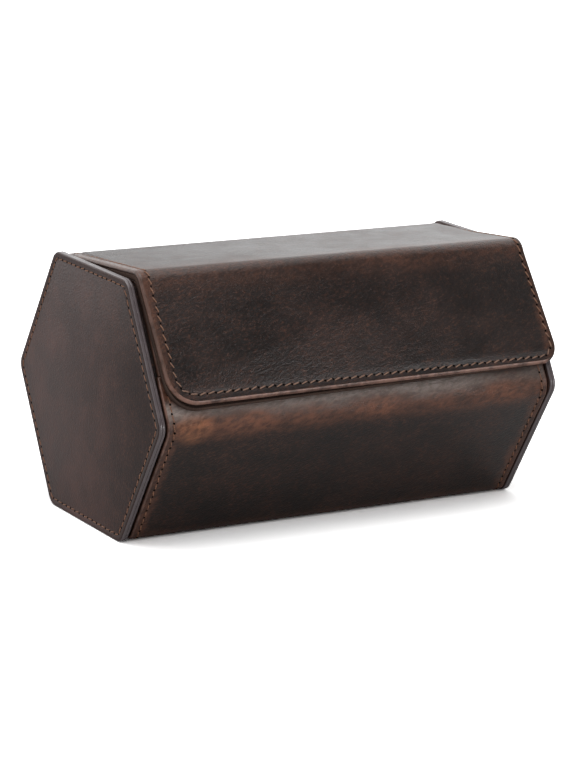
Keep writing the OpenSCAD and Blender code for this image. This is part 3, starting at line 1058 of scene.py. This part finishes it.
class CASE_OT_finishes(bpy.types.Operator):
    """Makes the finishes and gives the parts that stay as they are theirs"""

    bl_idname = "case.finishes"
    bl_label = "Finishes"

    def execute(self, context):
        self.leathers()
        c = look()
        edge_paint(c.paint)
        burnished_edge(c.burnish)
        napped("flesh_side", c.suede, 0.2)
        napped("suede", c.suede, 0.35)
        napped("lining_suede", c.suede, 0.2, on_rest=False)
        napped("cushion_suede", c.cushion, 0.4)
        sewing_thread("shaded_thread", c.shaded_thread)
        needle_hole_shade()
        pressed_board(c.board)
        open_foam(c.foam)
        nickel_plate(c.magnet)
        self.plain_parts()
        return {"FINISHED"}

    def leathers(self):
        """The leathers, and the thread and the arrises that are light near the front edge, as painted highlight.
        """
        c, s = look(), sizes()
        wrap = wrap_faces()
        front = meet(wrap[0], wrap[1])
        edges = [meet(a, b) for a, b in zip(wrap[1:], wrap[2:] + [REAR_FACE])]
        folds = [
            Fold(front, inner=0.001, outer=0.0105, left=1.0, right=1.0),
            Fold(meet(LID_FACE, FLAP_FACE), inner=0.002, outer=0.0135, left=0.25, right=0.62),
            Fold(meet(REAR_FACE, LID_FACE), inner=0.003, outer=0.009, left=0.5, right=0.5),
        ]
        folds += [Fold(line, inner=0.001, outer=0.006, left=0.45, right=0.45) for line in edges]
        waxed_leather(
            "body_leather", folds,
            Sides(s.reach / 4, WRAP_X, inner=0.003, outer=0.0068, share=0.65),
            # Painted highlight along the front edge
            BloomAndHighlight(up_front(0.007, wrap[0]), inner=0.0, outer=0.0058, share=0.95),
            Patch(front + Vector((-0.077, 0, 0)), outer=0.011, share=0.8),
        )
        right = LID_RIGHT + (s.lid_spread + s.flap_flare) / 2
        middle, half = (LID_LEFT + right) / 2, (right - LID_LEFT) / 2
        sides = Sides(middle, half, inner=0.0025, outer=0.0062, share=0.65)
        waxed_leather("lid_leather", folds, sides)
        tints = c.end_wax, c.end_brown
        # Painted shade towards the end's front
        waxed_leather("end_leather", tints=tints, painted_shade=0.6, strength=0.5, shine=0.32)
        waxed_leather("rim_leather")
        waxed_leather("hidden_leather", on_rest=False)
        rubbed_lit_arris(front)
        # The lid's thread is lightest near the front edge, as painted highlight
        sewing_thread("thread", c.thread, c.shaded_thread, front)

    def plain_parts(self):
        """Gives each plain part the finish of its slot, or one that isn't read at rest."""
        plain = dict.fromkeys(("body_leather", "end_leather", "end_edge_leather"), "hidden_leather")
        plain |= dict.fromkeys(("suede", "cushion_suede"), "lining_suede")
        slots = {row["node"]: row["material_slot"] for row in frame["record"]["subparts"]}
        for name, part in frame["nodes"].items():
            material = MATERIALS[plain.get(slots[name], slots[name])]
            if not part.material_slots:
                part.data.materials.append(material)
            for place in part.material_slots:
                place.material = material


# ---------------------------------------------------------------------------
# The pieces

# Which way each end looks, along X
OUTWARD = {"left": -1, "right": 1}


class CASE_OT_ends(bpy.types.Operator):
    """Models both leather layers of the two ends, with rounded painted edges and sewn borders"""

    bl_idname = "case.ends"
    bl_label = "Ends"

    def execute(self, context):
        s = sizes()
        for side in OUTWARD:
            self.layer(side, "end_leather", outer=s.edge_round, inner=s.layer_round, sewn=True)
            self.layer(side, "end_backing", outer=s.layer_round, inner=s.edge_round, sewn=False)
            self.sew_border(side)
        return {"FINISHED"}

    def layer(self, side, part, outer, inner, sewn):
        s = sizes()
        node = f"{side}_{part}"
        out = OUTWARD[side]
        near, far = sorted((low(node).x, high(node).x), key=lambda x: x * out)
        clear_selection()
        bpy.ops.mesh.primitive_circle_add(
            vertices=6, radius=SIDE, fill_type="NGON", location=(near, 0, APOTHEM),
            rotation=(0, math.pi / 2, 0),
        )
        piece = named(f"{node}_shaped")
        edit(piece)
        bpy.ops.mesh.extrude_region_move(TRANSFORM_OT_translate={"value": (far - near, 0, 0)})
        bpy.ops.mesh.select_all(action="SELECT")
        bpy.ops.mesh.normals_make_consistent(inside=False)
        pick(piece, "EDGE", lambda e: abs(e.verts[0].co.x - e.verts[1].co.x) > 1e-4)
        bevel(s.end_corner * math.tan(HEXAGON_TURN / 2), 10)
        for x, width in ((far, outer), (near, inner)):
            pick(piece, "EDGE", lambda e: all(abs(v.co.x - x) < 1e-6 for v in e.verts))
            bevel(width, ARRIS_STEPS)
        done()
        if sewn:
            groove(piece, s.end_border - outer, lambda f: f.normal.x * out > 0.999)
        piece.data.materials.append(MATERIALS["end_leather"])
        piece.data.materials.append(MATERIALS["edge_paint"])
        for panel in piece.data.polygons:
            panel.material_index = 0 if abs(panel.normal.x) > 0.8 else 1
        smooth(piece)
        finish_piece(piece, [node], "case")

    def sew_border(self, side):
        s = sizes()
        out = OUTWARD[side]
        x = (low if side == "left" else high)(f"{side}_end_leather").x
        radius = (APOTHEM - s.end_border) * 2 / math.sqrt(3)
        corners = [
            Vector((-out * radius * math.cos(a), radius * math.sin(a)))
            for a in (i * HEXAGON_TURN for i in range(6))
        ]
        places = even_path(corners, [s.end_corner - s.end_border] * 6, s.pitch, closed=True)
        frames = [
            (
                Vector((x - out * s.groove, p.x, p.y + APOTHEM)),
                Vector((0, along.x, along.y)),
                Vector((out, 0, 0)),
            )
            for p, along in places
        ]
        sew(f"{side}_end_stitches", frames, "end_leather", body="case")


# What a sheet runs on past the seam that it is cut at
EXTRA = 0.01
# Which way the rear fold's bend runs, from up the rear to forward over the top
BEND_WAY = Vector((0, -0.25, 1)).normalized()
# How many creases let a sheet bend, at the rear fold and on each side of the front fold
REAR_CREASES, FRONT_CREASES = 6, 3
# The share of the lid's width in which its border eases into the left one
LEFT_SHARE = 0.05


def hinge_bend():
    """Where the leather turns from the body to the lid."""
    start = meet(REAR_FACE, LID_FACE) - sizes().rear_bend * Vector((0, -UP_SLOPE.y, UP_SLOPE.z))
    stop = start + BEND_WAY * (back_top(sizes().top_bend) - start).dot(BEND_WAY)
    return "case", "lid_top", start, stop


def fold_bend():
    """Where the leather turns from the top of the lid to the flap."""
    corner, reach = meet(LID_FACE, FLAP_FACE), sizes().fold_bend
    return "lid_top", "lid_flap", corner + reach * LID_SLOPE, corner - reach * UP_SLOPE


def crease_rear(piece, first=0, is_part=lambda f: True):
    """Cuts a sheet across in front of the rear fold, so that it can bend."""
    s = sizes()
    for k in range(first, REAR_CREASES):
        cut(piece, back_top(s.rear_crease * k + s.rear_margin), -LID_SLOPE, is_part=is_part)


def crease_front(piece):
    """Cuts a sheet across on both sides of the front fold, so that it can bend."""
    s = sizes()
    corner = meet(LID_FACE, FLAP_FACE)
    for k in range(1, FRONT_CREASES + 1):
        reach = s.front_margin + s.front_crease * k
        cut(piece, corner + reach * LID_SLOPE, LID_SLOPE)
        cut(piece, corner - reach * UP_SLOPE, UP_SLOPE)


def wrap_line(extra=0.0):
    """Corners of the body's leather, from the lip, under the case, to the top of the lid."""
    s = sizes()
    faces = wrap_faces() + [REAR_FACE, LID_FACE]
    line = [up_front(s.lip, faces[0])]
    line += [meet(a, b) for a, b in zip(faces, faces[1:])]
    line.append(back_top(s.soft_leg + extra))
    return line, [s.front_fold, s.body_fold, s.body_fold, s.body_fold, s.rear_fold]


def lid_line(extra=0.0):
    """Corners of the leather of the lid, from its top to the lower edge of the flap."""
    s = sizes()
    top, foot = back_top(s.soft_leg - extra), up_front(s.flap_edge, FLAP_FACE)
    return [top, meet(LID_FACE, FLAP_FACE), foot], [s.lid_fold]


class CASE_OT_body(bpy.types.Operator):
    """Models the leather round the body, on over the rear fold to the top of the lid"""

    bl_idname = "case.body"
    bl_label = "Body leather"

    def execute(self, context):
        s = sizes()
        line, radii = wrap_line(EXTRA)
        piece = fold_sheet("body_leather", line, -WRAP_X, WRAP_X + s.reach)
        round_folds(piece, line, radii)
        thicken(piece, LEATHER)
        groove(piece, s.wrap_border, outer_skin)
        round_arrises(piece, s.edge_round, s.inner_round)
        edit(piece)
        cut(piece, back_top(s.soft_leg), -LID_SLOPE, keep_all=False, is_part=on_lid)
        crease_rear(piece, 1, on_lid)
        done()
        smooth(piece)
        finish_piece(piece, ["body_wrap", "hinge_leather"], bend=hinge_bend())
        self.sew_sides()
        self.rim_strips()
        return {"FINISHED"}

    def sew_sides(self):
        s = sizes()
        pattern = Development(*wrap_line())
        inside = s.wrap_border - WRAP_X, WRAP_X + s.reach - s.wrap_border
        for side, x in zip(OUTWARD, inside):
            ends = [Vector((x, 0)), Vector((x, pattern.total()))]
            sew_sheet(f"{side}_body_stitches", pattern, ends, (0, 0), s.groove, bend=hinge_bend())

    def rim_strips(self):
        """The leather that goes on up the rim of each end, under the lid."""
        s = sizes()
        front, rim = wrap_faces()[0], inward(LID_FACE, s.lid_layers)
        rear = inward(REAR_FACE, LEATHER + s.rim_gap)
        line = [up_front(s.lip, front), meet(front, rim), meet(rear, rim)]
        pattern = Development(line, [s.lid_fold])
        for side, out in OUTWARD.items():
            node = f"{side}_rim_strip"
            left = low(node).x + s.rim_inset * (side == "left")
            right = high(node).x - s.rim_inset * (side == "right")
            piece = fold_sheet(f"{node}_shaped", line, left, right, ["rim_leather", *SHEET[1:]])
            round_folds(piece, line, [s.lid_fold])
            thicken(piece, LEATHER)
            round_arrises(piece, s.edge_round, s.inner_round)
            smooth(piece)
            finish_piece(piece, [node], "case")
            x = (WRAP_X - s.wrap_border) * out
            ends = [Vector((x, 0)), Vector((x, pattern.total() - s.seam_stop))]
            sew_sheet(f"{side}_rim_stitches", pattern, ends, (0, 0), body="case")


def on_lid(f):
    """Whether a face is part of the flat top of the lid."""
    return f.calc_center_median().z > low("hinge_leather").z and all(
        v.co.z > HINGE_AXIS.z - LEATHER for v in f.verts
    )


# An outer face looks at most this much along the case, and at least this much away from its middle
SKIN_ALONG, SKIN_AWAY = 0.3, 0.45
# How far past the fold's axis, and up past the flap's top, a place still counts as on the flap
PAST_AXIS, PAST_TOP = 0.002, 0.003


def outer_skin(f):
    """Whether a face is on the outside of a folded sheet, and not on its edge or its back."""
    away = f.calc_center_median() - MIDDLE
    return abs(f.normal.x) < SKIN_ALONG and f.normal.normalized().dot(away.normalized()) > SKIN_AWAY


def flap_corners(drop=0.0):
    """The flap's lower corners before they are rounded, left and right, as X and the slope."""
    s = sizes()
    whole = 2 * high("right_end_leather").x
    return [
        (x, s.flap_edge - (s.flap_slant + drop) * (0.5 - x / whole))
        for x in (LID_LEFT + s.flap_taper, LID_RIGHT + s.flap_flare)
    ]


def on_flap(place):
    """Whether a place is on the flap, below its fold."""
    slope = (place - FRONT_EDGE).dot(UP_SLOPE)
    return place.y < FOLD_AXIS.y - PAST_AXIS and slope < FLAP_TOP + PAST_TOP


def shape_flap(piece, flat, corners, radii):
    """Moves the lower corners of a sheet's flap to where they belong and rounds them."""
    edit(piece)
    top = up_front(FLAP_TOP, flat)
    cut(piece, top, UP_SLOPE, is_part=lambda f: on_flap(f.calc_center_median()))
    shape = bmesh.from_edit_mesh(piece.data)
    below = [v for v in shape.verts if on_flap(v.co)]
    lowest = sorted(below, key=lambda v: (v.co - FRONT_EDGE).dot(UP_SLOPE))[:2]
    places = [up_front(slope, flat) + Vector((x, 0, 0)) for x, slope in corners]
    for vertex, place in zip(sorted(lowest, key=lambda v: v.co.x), places):
        vertex.co = place
    bmesh.update_edit_mesh(piece.data)
    for place, radius in zip(places, radii):
        pick(piece, "VERT", lambda v: (v.co - place).length < 1e-5)
        bevel(radius, CORNER_STEPS, "VERTICES")
    done()


class CASE_OT_lid(bpy.types.Operator):
    """Models the leather of the lid, from its top over the soft fold to the flap's lower edge"""

    bl_idname = "case.lid"
    bl_label = "Lid leather"

    def execute(self, context):
        s = sizes()
        line, radii = lid_line(EXTRA)
        piece = fold_sheet("lid_leather", line, LID_LEFT, LID_RIGHT, ["lid_leather", *SHEET[1:]])
        round_folds(piece, line, radii)
        self.spread(piece)
        shape_flap(piece, FLAP_FACE, flap_corners(), (s.left_corner, s.right_corner))
        thicken(piece, LEATHER)
        groove(piece, s.right_border, outer_skin, shift=self.border_shift)
        round_arrises(piece, s.lid_round, s.inner_round)
        edit(piece)
        cut(piece, back_top(s.soft_leg), LID_SLOPE, keep_all=False)
        crease_front(piece)
        done()
        smooth(piece)
        nodes = ["lid_top_leather", "fold_leather", "flap_leather"]
        finish_piece(piece, nodes, bend=fold_bend())
        self.sew_border()
        return {"FINISHED"}

    def spread(self, piece):
        """Leans the right side out, from where the lid rises clear of the end."""
        s = sizes()
        edit(piece)
        start = back_top(s.spread_start)
        cut(piece, start, LID_SLOPE)
        shape = bmesh.from_edit_mesh(piece.data)
        for vertex in shape.verts:
            if vertex.co.x > LID_RIGHT - 1e-5 and vertex.co.y < start.y - 1e-4:
                vertex.co.x += s.lid_spread
        bmesh.update_edit_mesh(piece.data)
        done()

    def border_shift(self, place):
        """What moves a point of a border like the right one to where the lid's own border is."""
        s = sizes()
        across = (place.x - LID_LEFT) / (LID_RIGHT - LID_LEFT)
        inward_ = (s.left_border - s.right_border) * max(0, 1 - across / LEFT_SHARE)
        above = (place - FRONT_EDGE).dot(UP_SLOPE) - s.flap_edge
        up = s.flap_border - s.right_border + s.flap_slant * (0.5 - across)
        up = min(up * max(0, 1 - above / s.border_run), s.border_limit) * (above < s.border_run)
        return Vector((inward_, 0, 0)) + UP_SLOPE * up

    def sew_border(self):
        s = sizes()
        pattern = Development(*lid_line())
        left, right = LID_LEFT + s.left_border, LID_RIGHT - s.right_border
        (left_x, left_low), (right_x, right_low) = flap_corners()
        lowest = pattern.total() + s.flap_edge
        top, foot, sag = lowest - FLAP_TOP, lowest - s.flap_border, s.flap_slant / 2
        border = [
            Vector((left, 0)),
            Vector((left, top)),
            Vector((left_x + s.left_border, foot - left_low - sag)),
            Vector((right_x - s.right_border, foot - right_low + sag)),
            Vector((right + s.lid_spread, top)),
            Vector((right + s.lid_spread, pattern.runs[0][0])),
            Vector((right, s.spread_start - s.soft_leg)),
            Vector((right, 0)),
        ]
        corners = s.left_corner - s.left_border, s.right_corner - s.right_border
        radii = [0, s.wide_turn, *corners, s.slight_turn, s.slight_turn, s.wide_turn, 0]
        sew_sheet(
            "lid_stitches", pattern, border, radii, s.groove, slant=20, thread="thread",
            size=s.lid_thread, bend=fold_bend(),
        )


def soften(node, width, material):
    """Stands a copy of a plain node in for it, with its sharp edges rounded."""
    piece = copy_node(node, f"{node}_soft", material)
    bpy.ops.mesh.dissolve_limited(angle_limit=math.radians(1))
    done()
    if width:
        round_edges(piece, width, degrees=40)
    smooth(piece)
    finish_piece(piece, [node], "case")
    return piece


class CASE_OT_linings(bpy.types.Operator):
    """Models the suede that lines the body, the dividers, the rear fold and the lid"""

    bl_idname = "case.linings"
    bl_label = "Linings"

    def execute(self, context):
        s = sizes()
        for side in OUTWARD:
            soften(f"{side}_gusset", s.gusset_round, "rim_leather")
            soften(f"{side}_end_lining", s.lining_round, "suede")
            self.divider(side)
        soften("body_lining", s.body_lining_round, "suede")
        self.rear_fold()
        self.lid()
        return {"FINISHED"}

    def divider(self, side):
        """A divider's board, as thick as the suede that is wrapped round it makes it."""
        board, suede = f"{side}_divider_board", f"{side}_divider_suede"
        piece = soften(board, 0.0, "suede")
        edit(piece)
        thick = (high(suede).x - low(suede).x) / (high(board).x - low(board).x)
        centre = (low(board) + high(board)) / 2
        bpy.ops.transform.resize(value=(thick, 1, 1), center_override=centre)
        done()
        round_edges(piece, sizes().divider_round, steps=4, degrees=40)
        smooth(piece)
        piece.name = piece.data.name = f"{side}_divider_wrapped"
        keep_rest(piece)
        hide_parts(suede)

    def rear_fold(self):
        s = sizes()
        node = "hinge_lining"
        rear, top = inward(REAR_FACE, LEATHER + s.glue), inward(LID_FACE, LEATHER + s.glue)
        corner = meet(rear, top)
        down = Vector((0, UP_SLOPE.y, -UP_SLOPE.z))
        start = corner + down * ((corner.z - low(node).z) / UP_SLOPE.z)
        line = [start, corner, back_top(s.soft_leg, top)]
        piece = fold_sheet("hinge_suede", line, low(node).x, high(node).x, ["suede"] * 3)
        round_folds(piece, line, [s.rear_fold - LEATHER])
        thicken(piece, s.lining)
        edit(piece)
        crease_rear(piece)
        done()
        smooth(piece)
        finish_piece(piece, [node], bend=hinge_bend())

    def lid(self):
        """The lid's lining is a tray, turned up round the edges of the boards."""
        s = sizes()
        depth = s.lid_layers - s.lid_play
        top, flap = inward(LID_FACE, depth), inward(FLAP_FACE, depth)
        line = [back_top(s.soft_leg - EXTRA, top), meet(top, flap), up_front(s.flap_edge, flap)]
        piece = fold_sheet("lid_suede", line, LID_LEFT, LID_RIGHT, ["suede"] * 3)
        round_folds(piece, line, [s.lid_fold - depth])
        corners = flap_corners(s.lining_drop)
        corners[1] = (LID_RIGHT - s.flap_taper, corners[1][1])
        shape_flap(piece, flap, corners, (s.left_corner, s.left_corner))
        thicken(piece, depth - LEATHER, offset=1)
        edit(piece)
        pick(piece, "FACE", lambda f: f.material_index == 0)
        bpy.ops.mesh.delete(type="FACE")
        done()
        thicken(piece, s.lining)
        round_edges(piece, s.lining_round)
        edit(piece)
        cut(piece, back_top(s.soft_leg), LID_SLOPE, keep_all=False)
        crease_front(piece)
        done()
        smooth(piece)
        nodes = ["lid_top_lining", "fold_lining", "flap_lining"]
        finish_piece(piece, nodes, bend=fold_bend())


# Frames that a cushion takes to fill
CLOTH_FRAMES = 20
# How far the piping sinks the cover, and half its thickness, as shares of the cord's size
PIPING_SUNK, PIPING_WIDTH = 0.35, 0.75


class CASE_OT_cushions(bpy.types.Operator):
    """Fills the three suede cushions, sews their end seams and pipes them"""

    bl_idname = "case.cushions"
    bl_label = "Cushions"

    def execute(self, context):
        s = sizes()
        middle = "middle_cushion_cover"
        stuffed = self.fill(middle)
        ends = low(middle).x + s.cushion_seam, high(middle).x - s.cushion_seam
        join(stuffed, [self.seam(stuffed, x) for x in ends])
        smooth(stuffed, 60)
        for place in ("left", "right", "middle"):
            node = f"{place}_cushion_cover"
            piece = stuffed
            if node != middle:
                piece = stuffed.copy()
                piece.data = stuffed.data.copy()
                bpy.context.collection.objects.link(piece)
                piece.data.transform(Matrix.Translation((low(node).x - low(middle).x, 0, 0)))
            piece.name = piece.data.name = f"{place}_cushion_stuffed"
            finish_piece(piece, [node], f"{place}_cushion")
        return {"FINISHED"}

    def fill(self, node):
        """A cover sewn a little small, swollen by its filling and flat where it rests."""
        s = sizes()
        bottom, top = low(node), high(node)
        piece = copy_node(node, "stuffing", "cushion_suede")
        centre = (bottom + top) / 2
        bpy.ops.transform.resize(value=(s.cushion_cut,) * 3, center_override=centre)
        done()
        modify(piece, "REMESH", mode="VOXEL", voxel_size=s.cushion_voxel)
        start = [v.co.copy() for v in piece.data.vertices]
        take(piece)
        bpy.ops.object.modifier_add(type="CLOTH")
        cloth = piece.modifiers[-1]
        cloth.settings.use_pressure = True
        cloth.settings.uniform_pressure_force = 4
        cloth.settings.effector_weights.gravity = 0
        cloth.settings.quality = 5
        cloth.point_cache.frame_end = CLOTH_FRAMES
        for step in range(1, CLOTH_FRAMES + 1):
            bpy.context.scene.frame_set(step)
        bpy.ops.object.modifier_apply(modifier=cloth.name)
        bpy.context.scene.frame_set(1)
        for vertex, before in zip(piece.data.vertices, start):
            moved = vertex.co - before
            if moved.length > s.cushion_swell:
                vertex.co = before + moved * (s.cushion_swell / moved.length)
            for axis in range(3):
                vertex.co[axis] = min(max(vertex.co[axis], bottom[axis]), top[axis])
        modify(piece, "SUBSURF", levels=1, render_levels=1)
        return piece

    def seam(self, piece, x):
        """Draws the cover in along an end seam, and lays a piping cord in it."""
        s = sizes()
        edit(piece)
        for offset in (-s.piping, 0, s.piping):
            bpy.ops.mesh.select_all(action="SELECT")
            bpy.ops.mesh.bisect(plane_co=(x + offset, 0, 0), plane_no=(1, 0, 0), threshold=1e-5)
        pick(piece, "EDGE", lambda e: all(abs(v.co.x - x) < 2e-5 for v in e.verts))
        bpy.ops.transform.shrink_fatten(value=-s.piping * PIPING_SUNK)
        bpy.ops.mesh.duplicate()
        bpy.ops.mesh.separate(type="SELECTED")
        done()
        cord = next(o for o in bpy.context.selected_objects if o is not piece)
        edit(cord)
        bpy.ops.mesh.remove_doubles(threshold=s.cord_weld)
        bpy.ops.mesh.delete(type="ONLY_FACE")
        done()
        bpy.ops.object.convert(target="CURVE")
        cord.data.bevel_depth = s.piping * PIPING_WIDTH
        cord.data.bevel_resolution = 1
        bpy.ops.object.convert(target="MESH")
        cord.data.materials.clear()
        cord.data.materials.append(MATERIALS["cushion_suede"])
        return cord


# The floor's white as light falls on it, what is added where the camera sees it, and what is taken
# away where a glossy surface mirrors it
FLOOR_WHITE, SEEN_WHITE, MIRRORED_DULL = 0.8, 1.5, -0.3
# The studio: what it sheds on matt surfaces, what a gloss mirrors of the wall behind the case, by
# how far back it looks, and of a bright panel at the front right, by how near its middle it looks
MATT_LIGHT = 0.5
WALL = (-0.5, 0.7, 0.07, 1.6)
PANEL_WAY = Vector((0.504, -0.86, 0.1)).normalized()
PANEL = (0.972, 0.998, 0.0, 8.0)
# Lamps: name, place, size and power
LAMPS = (
    ("overhead", (-0.25, -0.15, 1.3), 1.2, 9),
    ("left_front", (-1.2, -0.9, 0.9), 0.8, 2.2),
)


class CASE_OT_stage(bpy.types.Operator):
    """Makes the white floor, the soft lights and the camera"""

    bl_idname = "case.stage"
    bl_label = "Stage"

    def execute(self, context):
        self.floor()
        self.studio()
        self.lamps()
        self.camera()
        return {"FINISHED"}

    def floor(self):
        clear_selection()
        bpy.ops.mesh.primitive_plane_add(size=6, location=(0, 0, 0))
        floor = named("floor")
        material = bpy.data.materials.new("floor_paper")
        material.use_nodes = True
        t = Tree(material.node_tree)
        ray = t.add("ShaderNodeLightPath").outputs
        white = t.math("MULTIPLY_ADD", ray["Is Camera Ray"], SEEN_WHITE, FLOOR_WHITE)
        white = t.math("MULTIPLY_ADD", ray["Is Glossy Ray"], MIRRORED_DULL, white)
        paper = t.add("ShaderNodeBsdfDiffuse")
        t.feed(paper.inputs["Color"], white)
        t.feed(t.tree.nodes["Material Output"].inputs["Surface"], paper.outputs[0])
        floor.data.materials.append(material)

    def studio(self):
        world = bpy.data.worlds.new("studio")
        bpy.context.scene.world = world
        world.use_nodes = True
        t = Tree(world.node_tree)
        t.place = t.add("ShaderNodeTexCoord").outputs["Generated"]
        ray = t.add("ShaderNodeLightPath").outputs
        panel = t.span(t.vector("DOT_PRODUCT", t.place, PANEL_WAY), *PANEL)
        mirrored = t.plus(t.span(t.axis("Y"), *WALL), panel)
        light = t.add("ShaderNodeMix")
        for index, value in ((0, ray["Is Glossy Ray"]), (2, MATT_LIGHT), (3, mirrored)):
            t.feed(light.inputs[index], value)
        strength = t.math("MAXIMUM", light.outputs[0], ray["Is Camera Ray"])
        background = t.tree.nodes["Background"]
        t.feed(background.inputs["Color"], (1, 1, 1))
        t.feed(background.inputs["Strength"], strength)

    def lamps(self):
        for name, place, size, power in LAMPS:
            bpy.ops.object.light_add(type="AREA", location=place)
            lamp = bpy.context.object
            lamp.name = name
            lamp.data.size = size
            lamp.data.energy = power
            lamp.rotation_euler = (MIDDLE - Vector(place)).to_track_quat("-Z", "Y").to_euler()

    def camera(self):
        v = bpy.context.scene.case_view
        back = Vector((
            math.sin(v.azimuth) * math.cos(v.elevation),
            -math.cos(v.azimuth) * math.cos(v.elevation),
            math.sin(v.elevation),
        ))
        place = Vector((v.aim, 0, v.height)) + back * v.distance
        turned = (-back).to_track_quat("-Z", "Y") @ Matrix.Rotation(v.roll, 3, "Z").to_quaternion()
        bpy.ops.object.camera_add(location=place, rotation=turned.to_euler())
        camera = bpy.context.object
        camera.name = "camera"
        camera.data.lens = v.lens
        bpy.context.scene.camera = camera
        bpy.context.scene.view_settings.view_transform = "Standard"


class CASE_PT_panel(bpy.types.Panel):
    """Lists the pieces of the case, in the order that they are made"""

    bl_idname = "CASE_PT_panel"
    bl_label = "Watch case"
    bl_space_type = "VIEW_3D"
    bl_region_type = "UI"
    bl_category = "Watch case"

    def draw(self, context):
        for group in ("case_sizes", "case_look", "case_view"):
            values = getattr(context.scene, group)
            box = self.layout.box()
            for name in values.__annotations__:
                box.prop(values, name)
        for operator in OPERATORS:
            self.layout.operator(operator.bl_idname)


GROUPS = {"case_sizes": CaseSizes, "case_look": CaseLook, "case_view": CaseView}
OPERATORS = [
    CASE_OT_finishes, CASE_OT_ends, CASE_OT_body, CASE_OT_lid, CASE_OT_linings, CASE_OT_cushions,
    CASE_OT_stage,
]


def register():
    for cls in [*GROUPS.values(), *OPERATORS, CASE_PT_panel]:
        bpy.utils.register_class(cls)
    for name, group in GROUPS.items():
        setattr(bpy.types.Scene, name, PointerProperty(type=group))


def unregister():
    for name in GROUPS:
        delattr(bpy.types.Scene, name)
    for cls in reversed([*GROUPS.values(), *OPERATORS, CASE_PT_panel]):
        bpy.utils.unregister_class(cls)


def main():
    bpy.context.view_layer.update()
    register()
    for operator in OPERATORS:
        group, name = operator.bl_idname.split(".")
        getattr(getattr(bpy.ops, group), name)()


if __name__ == "__main__":
    main()
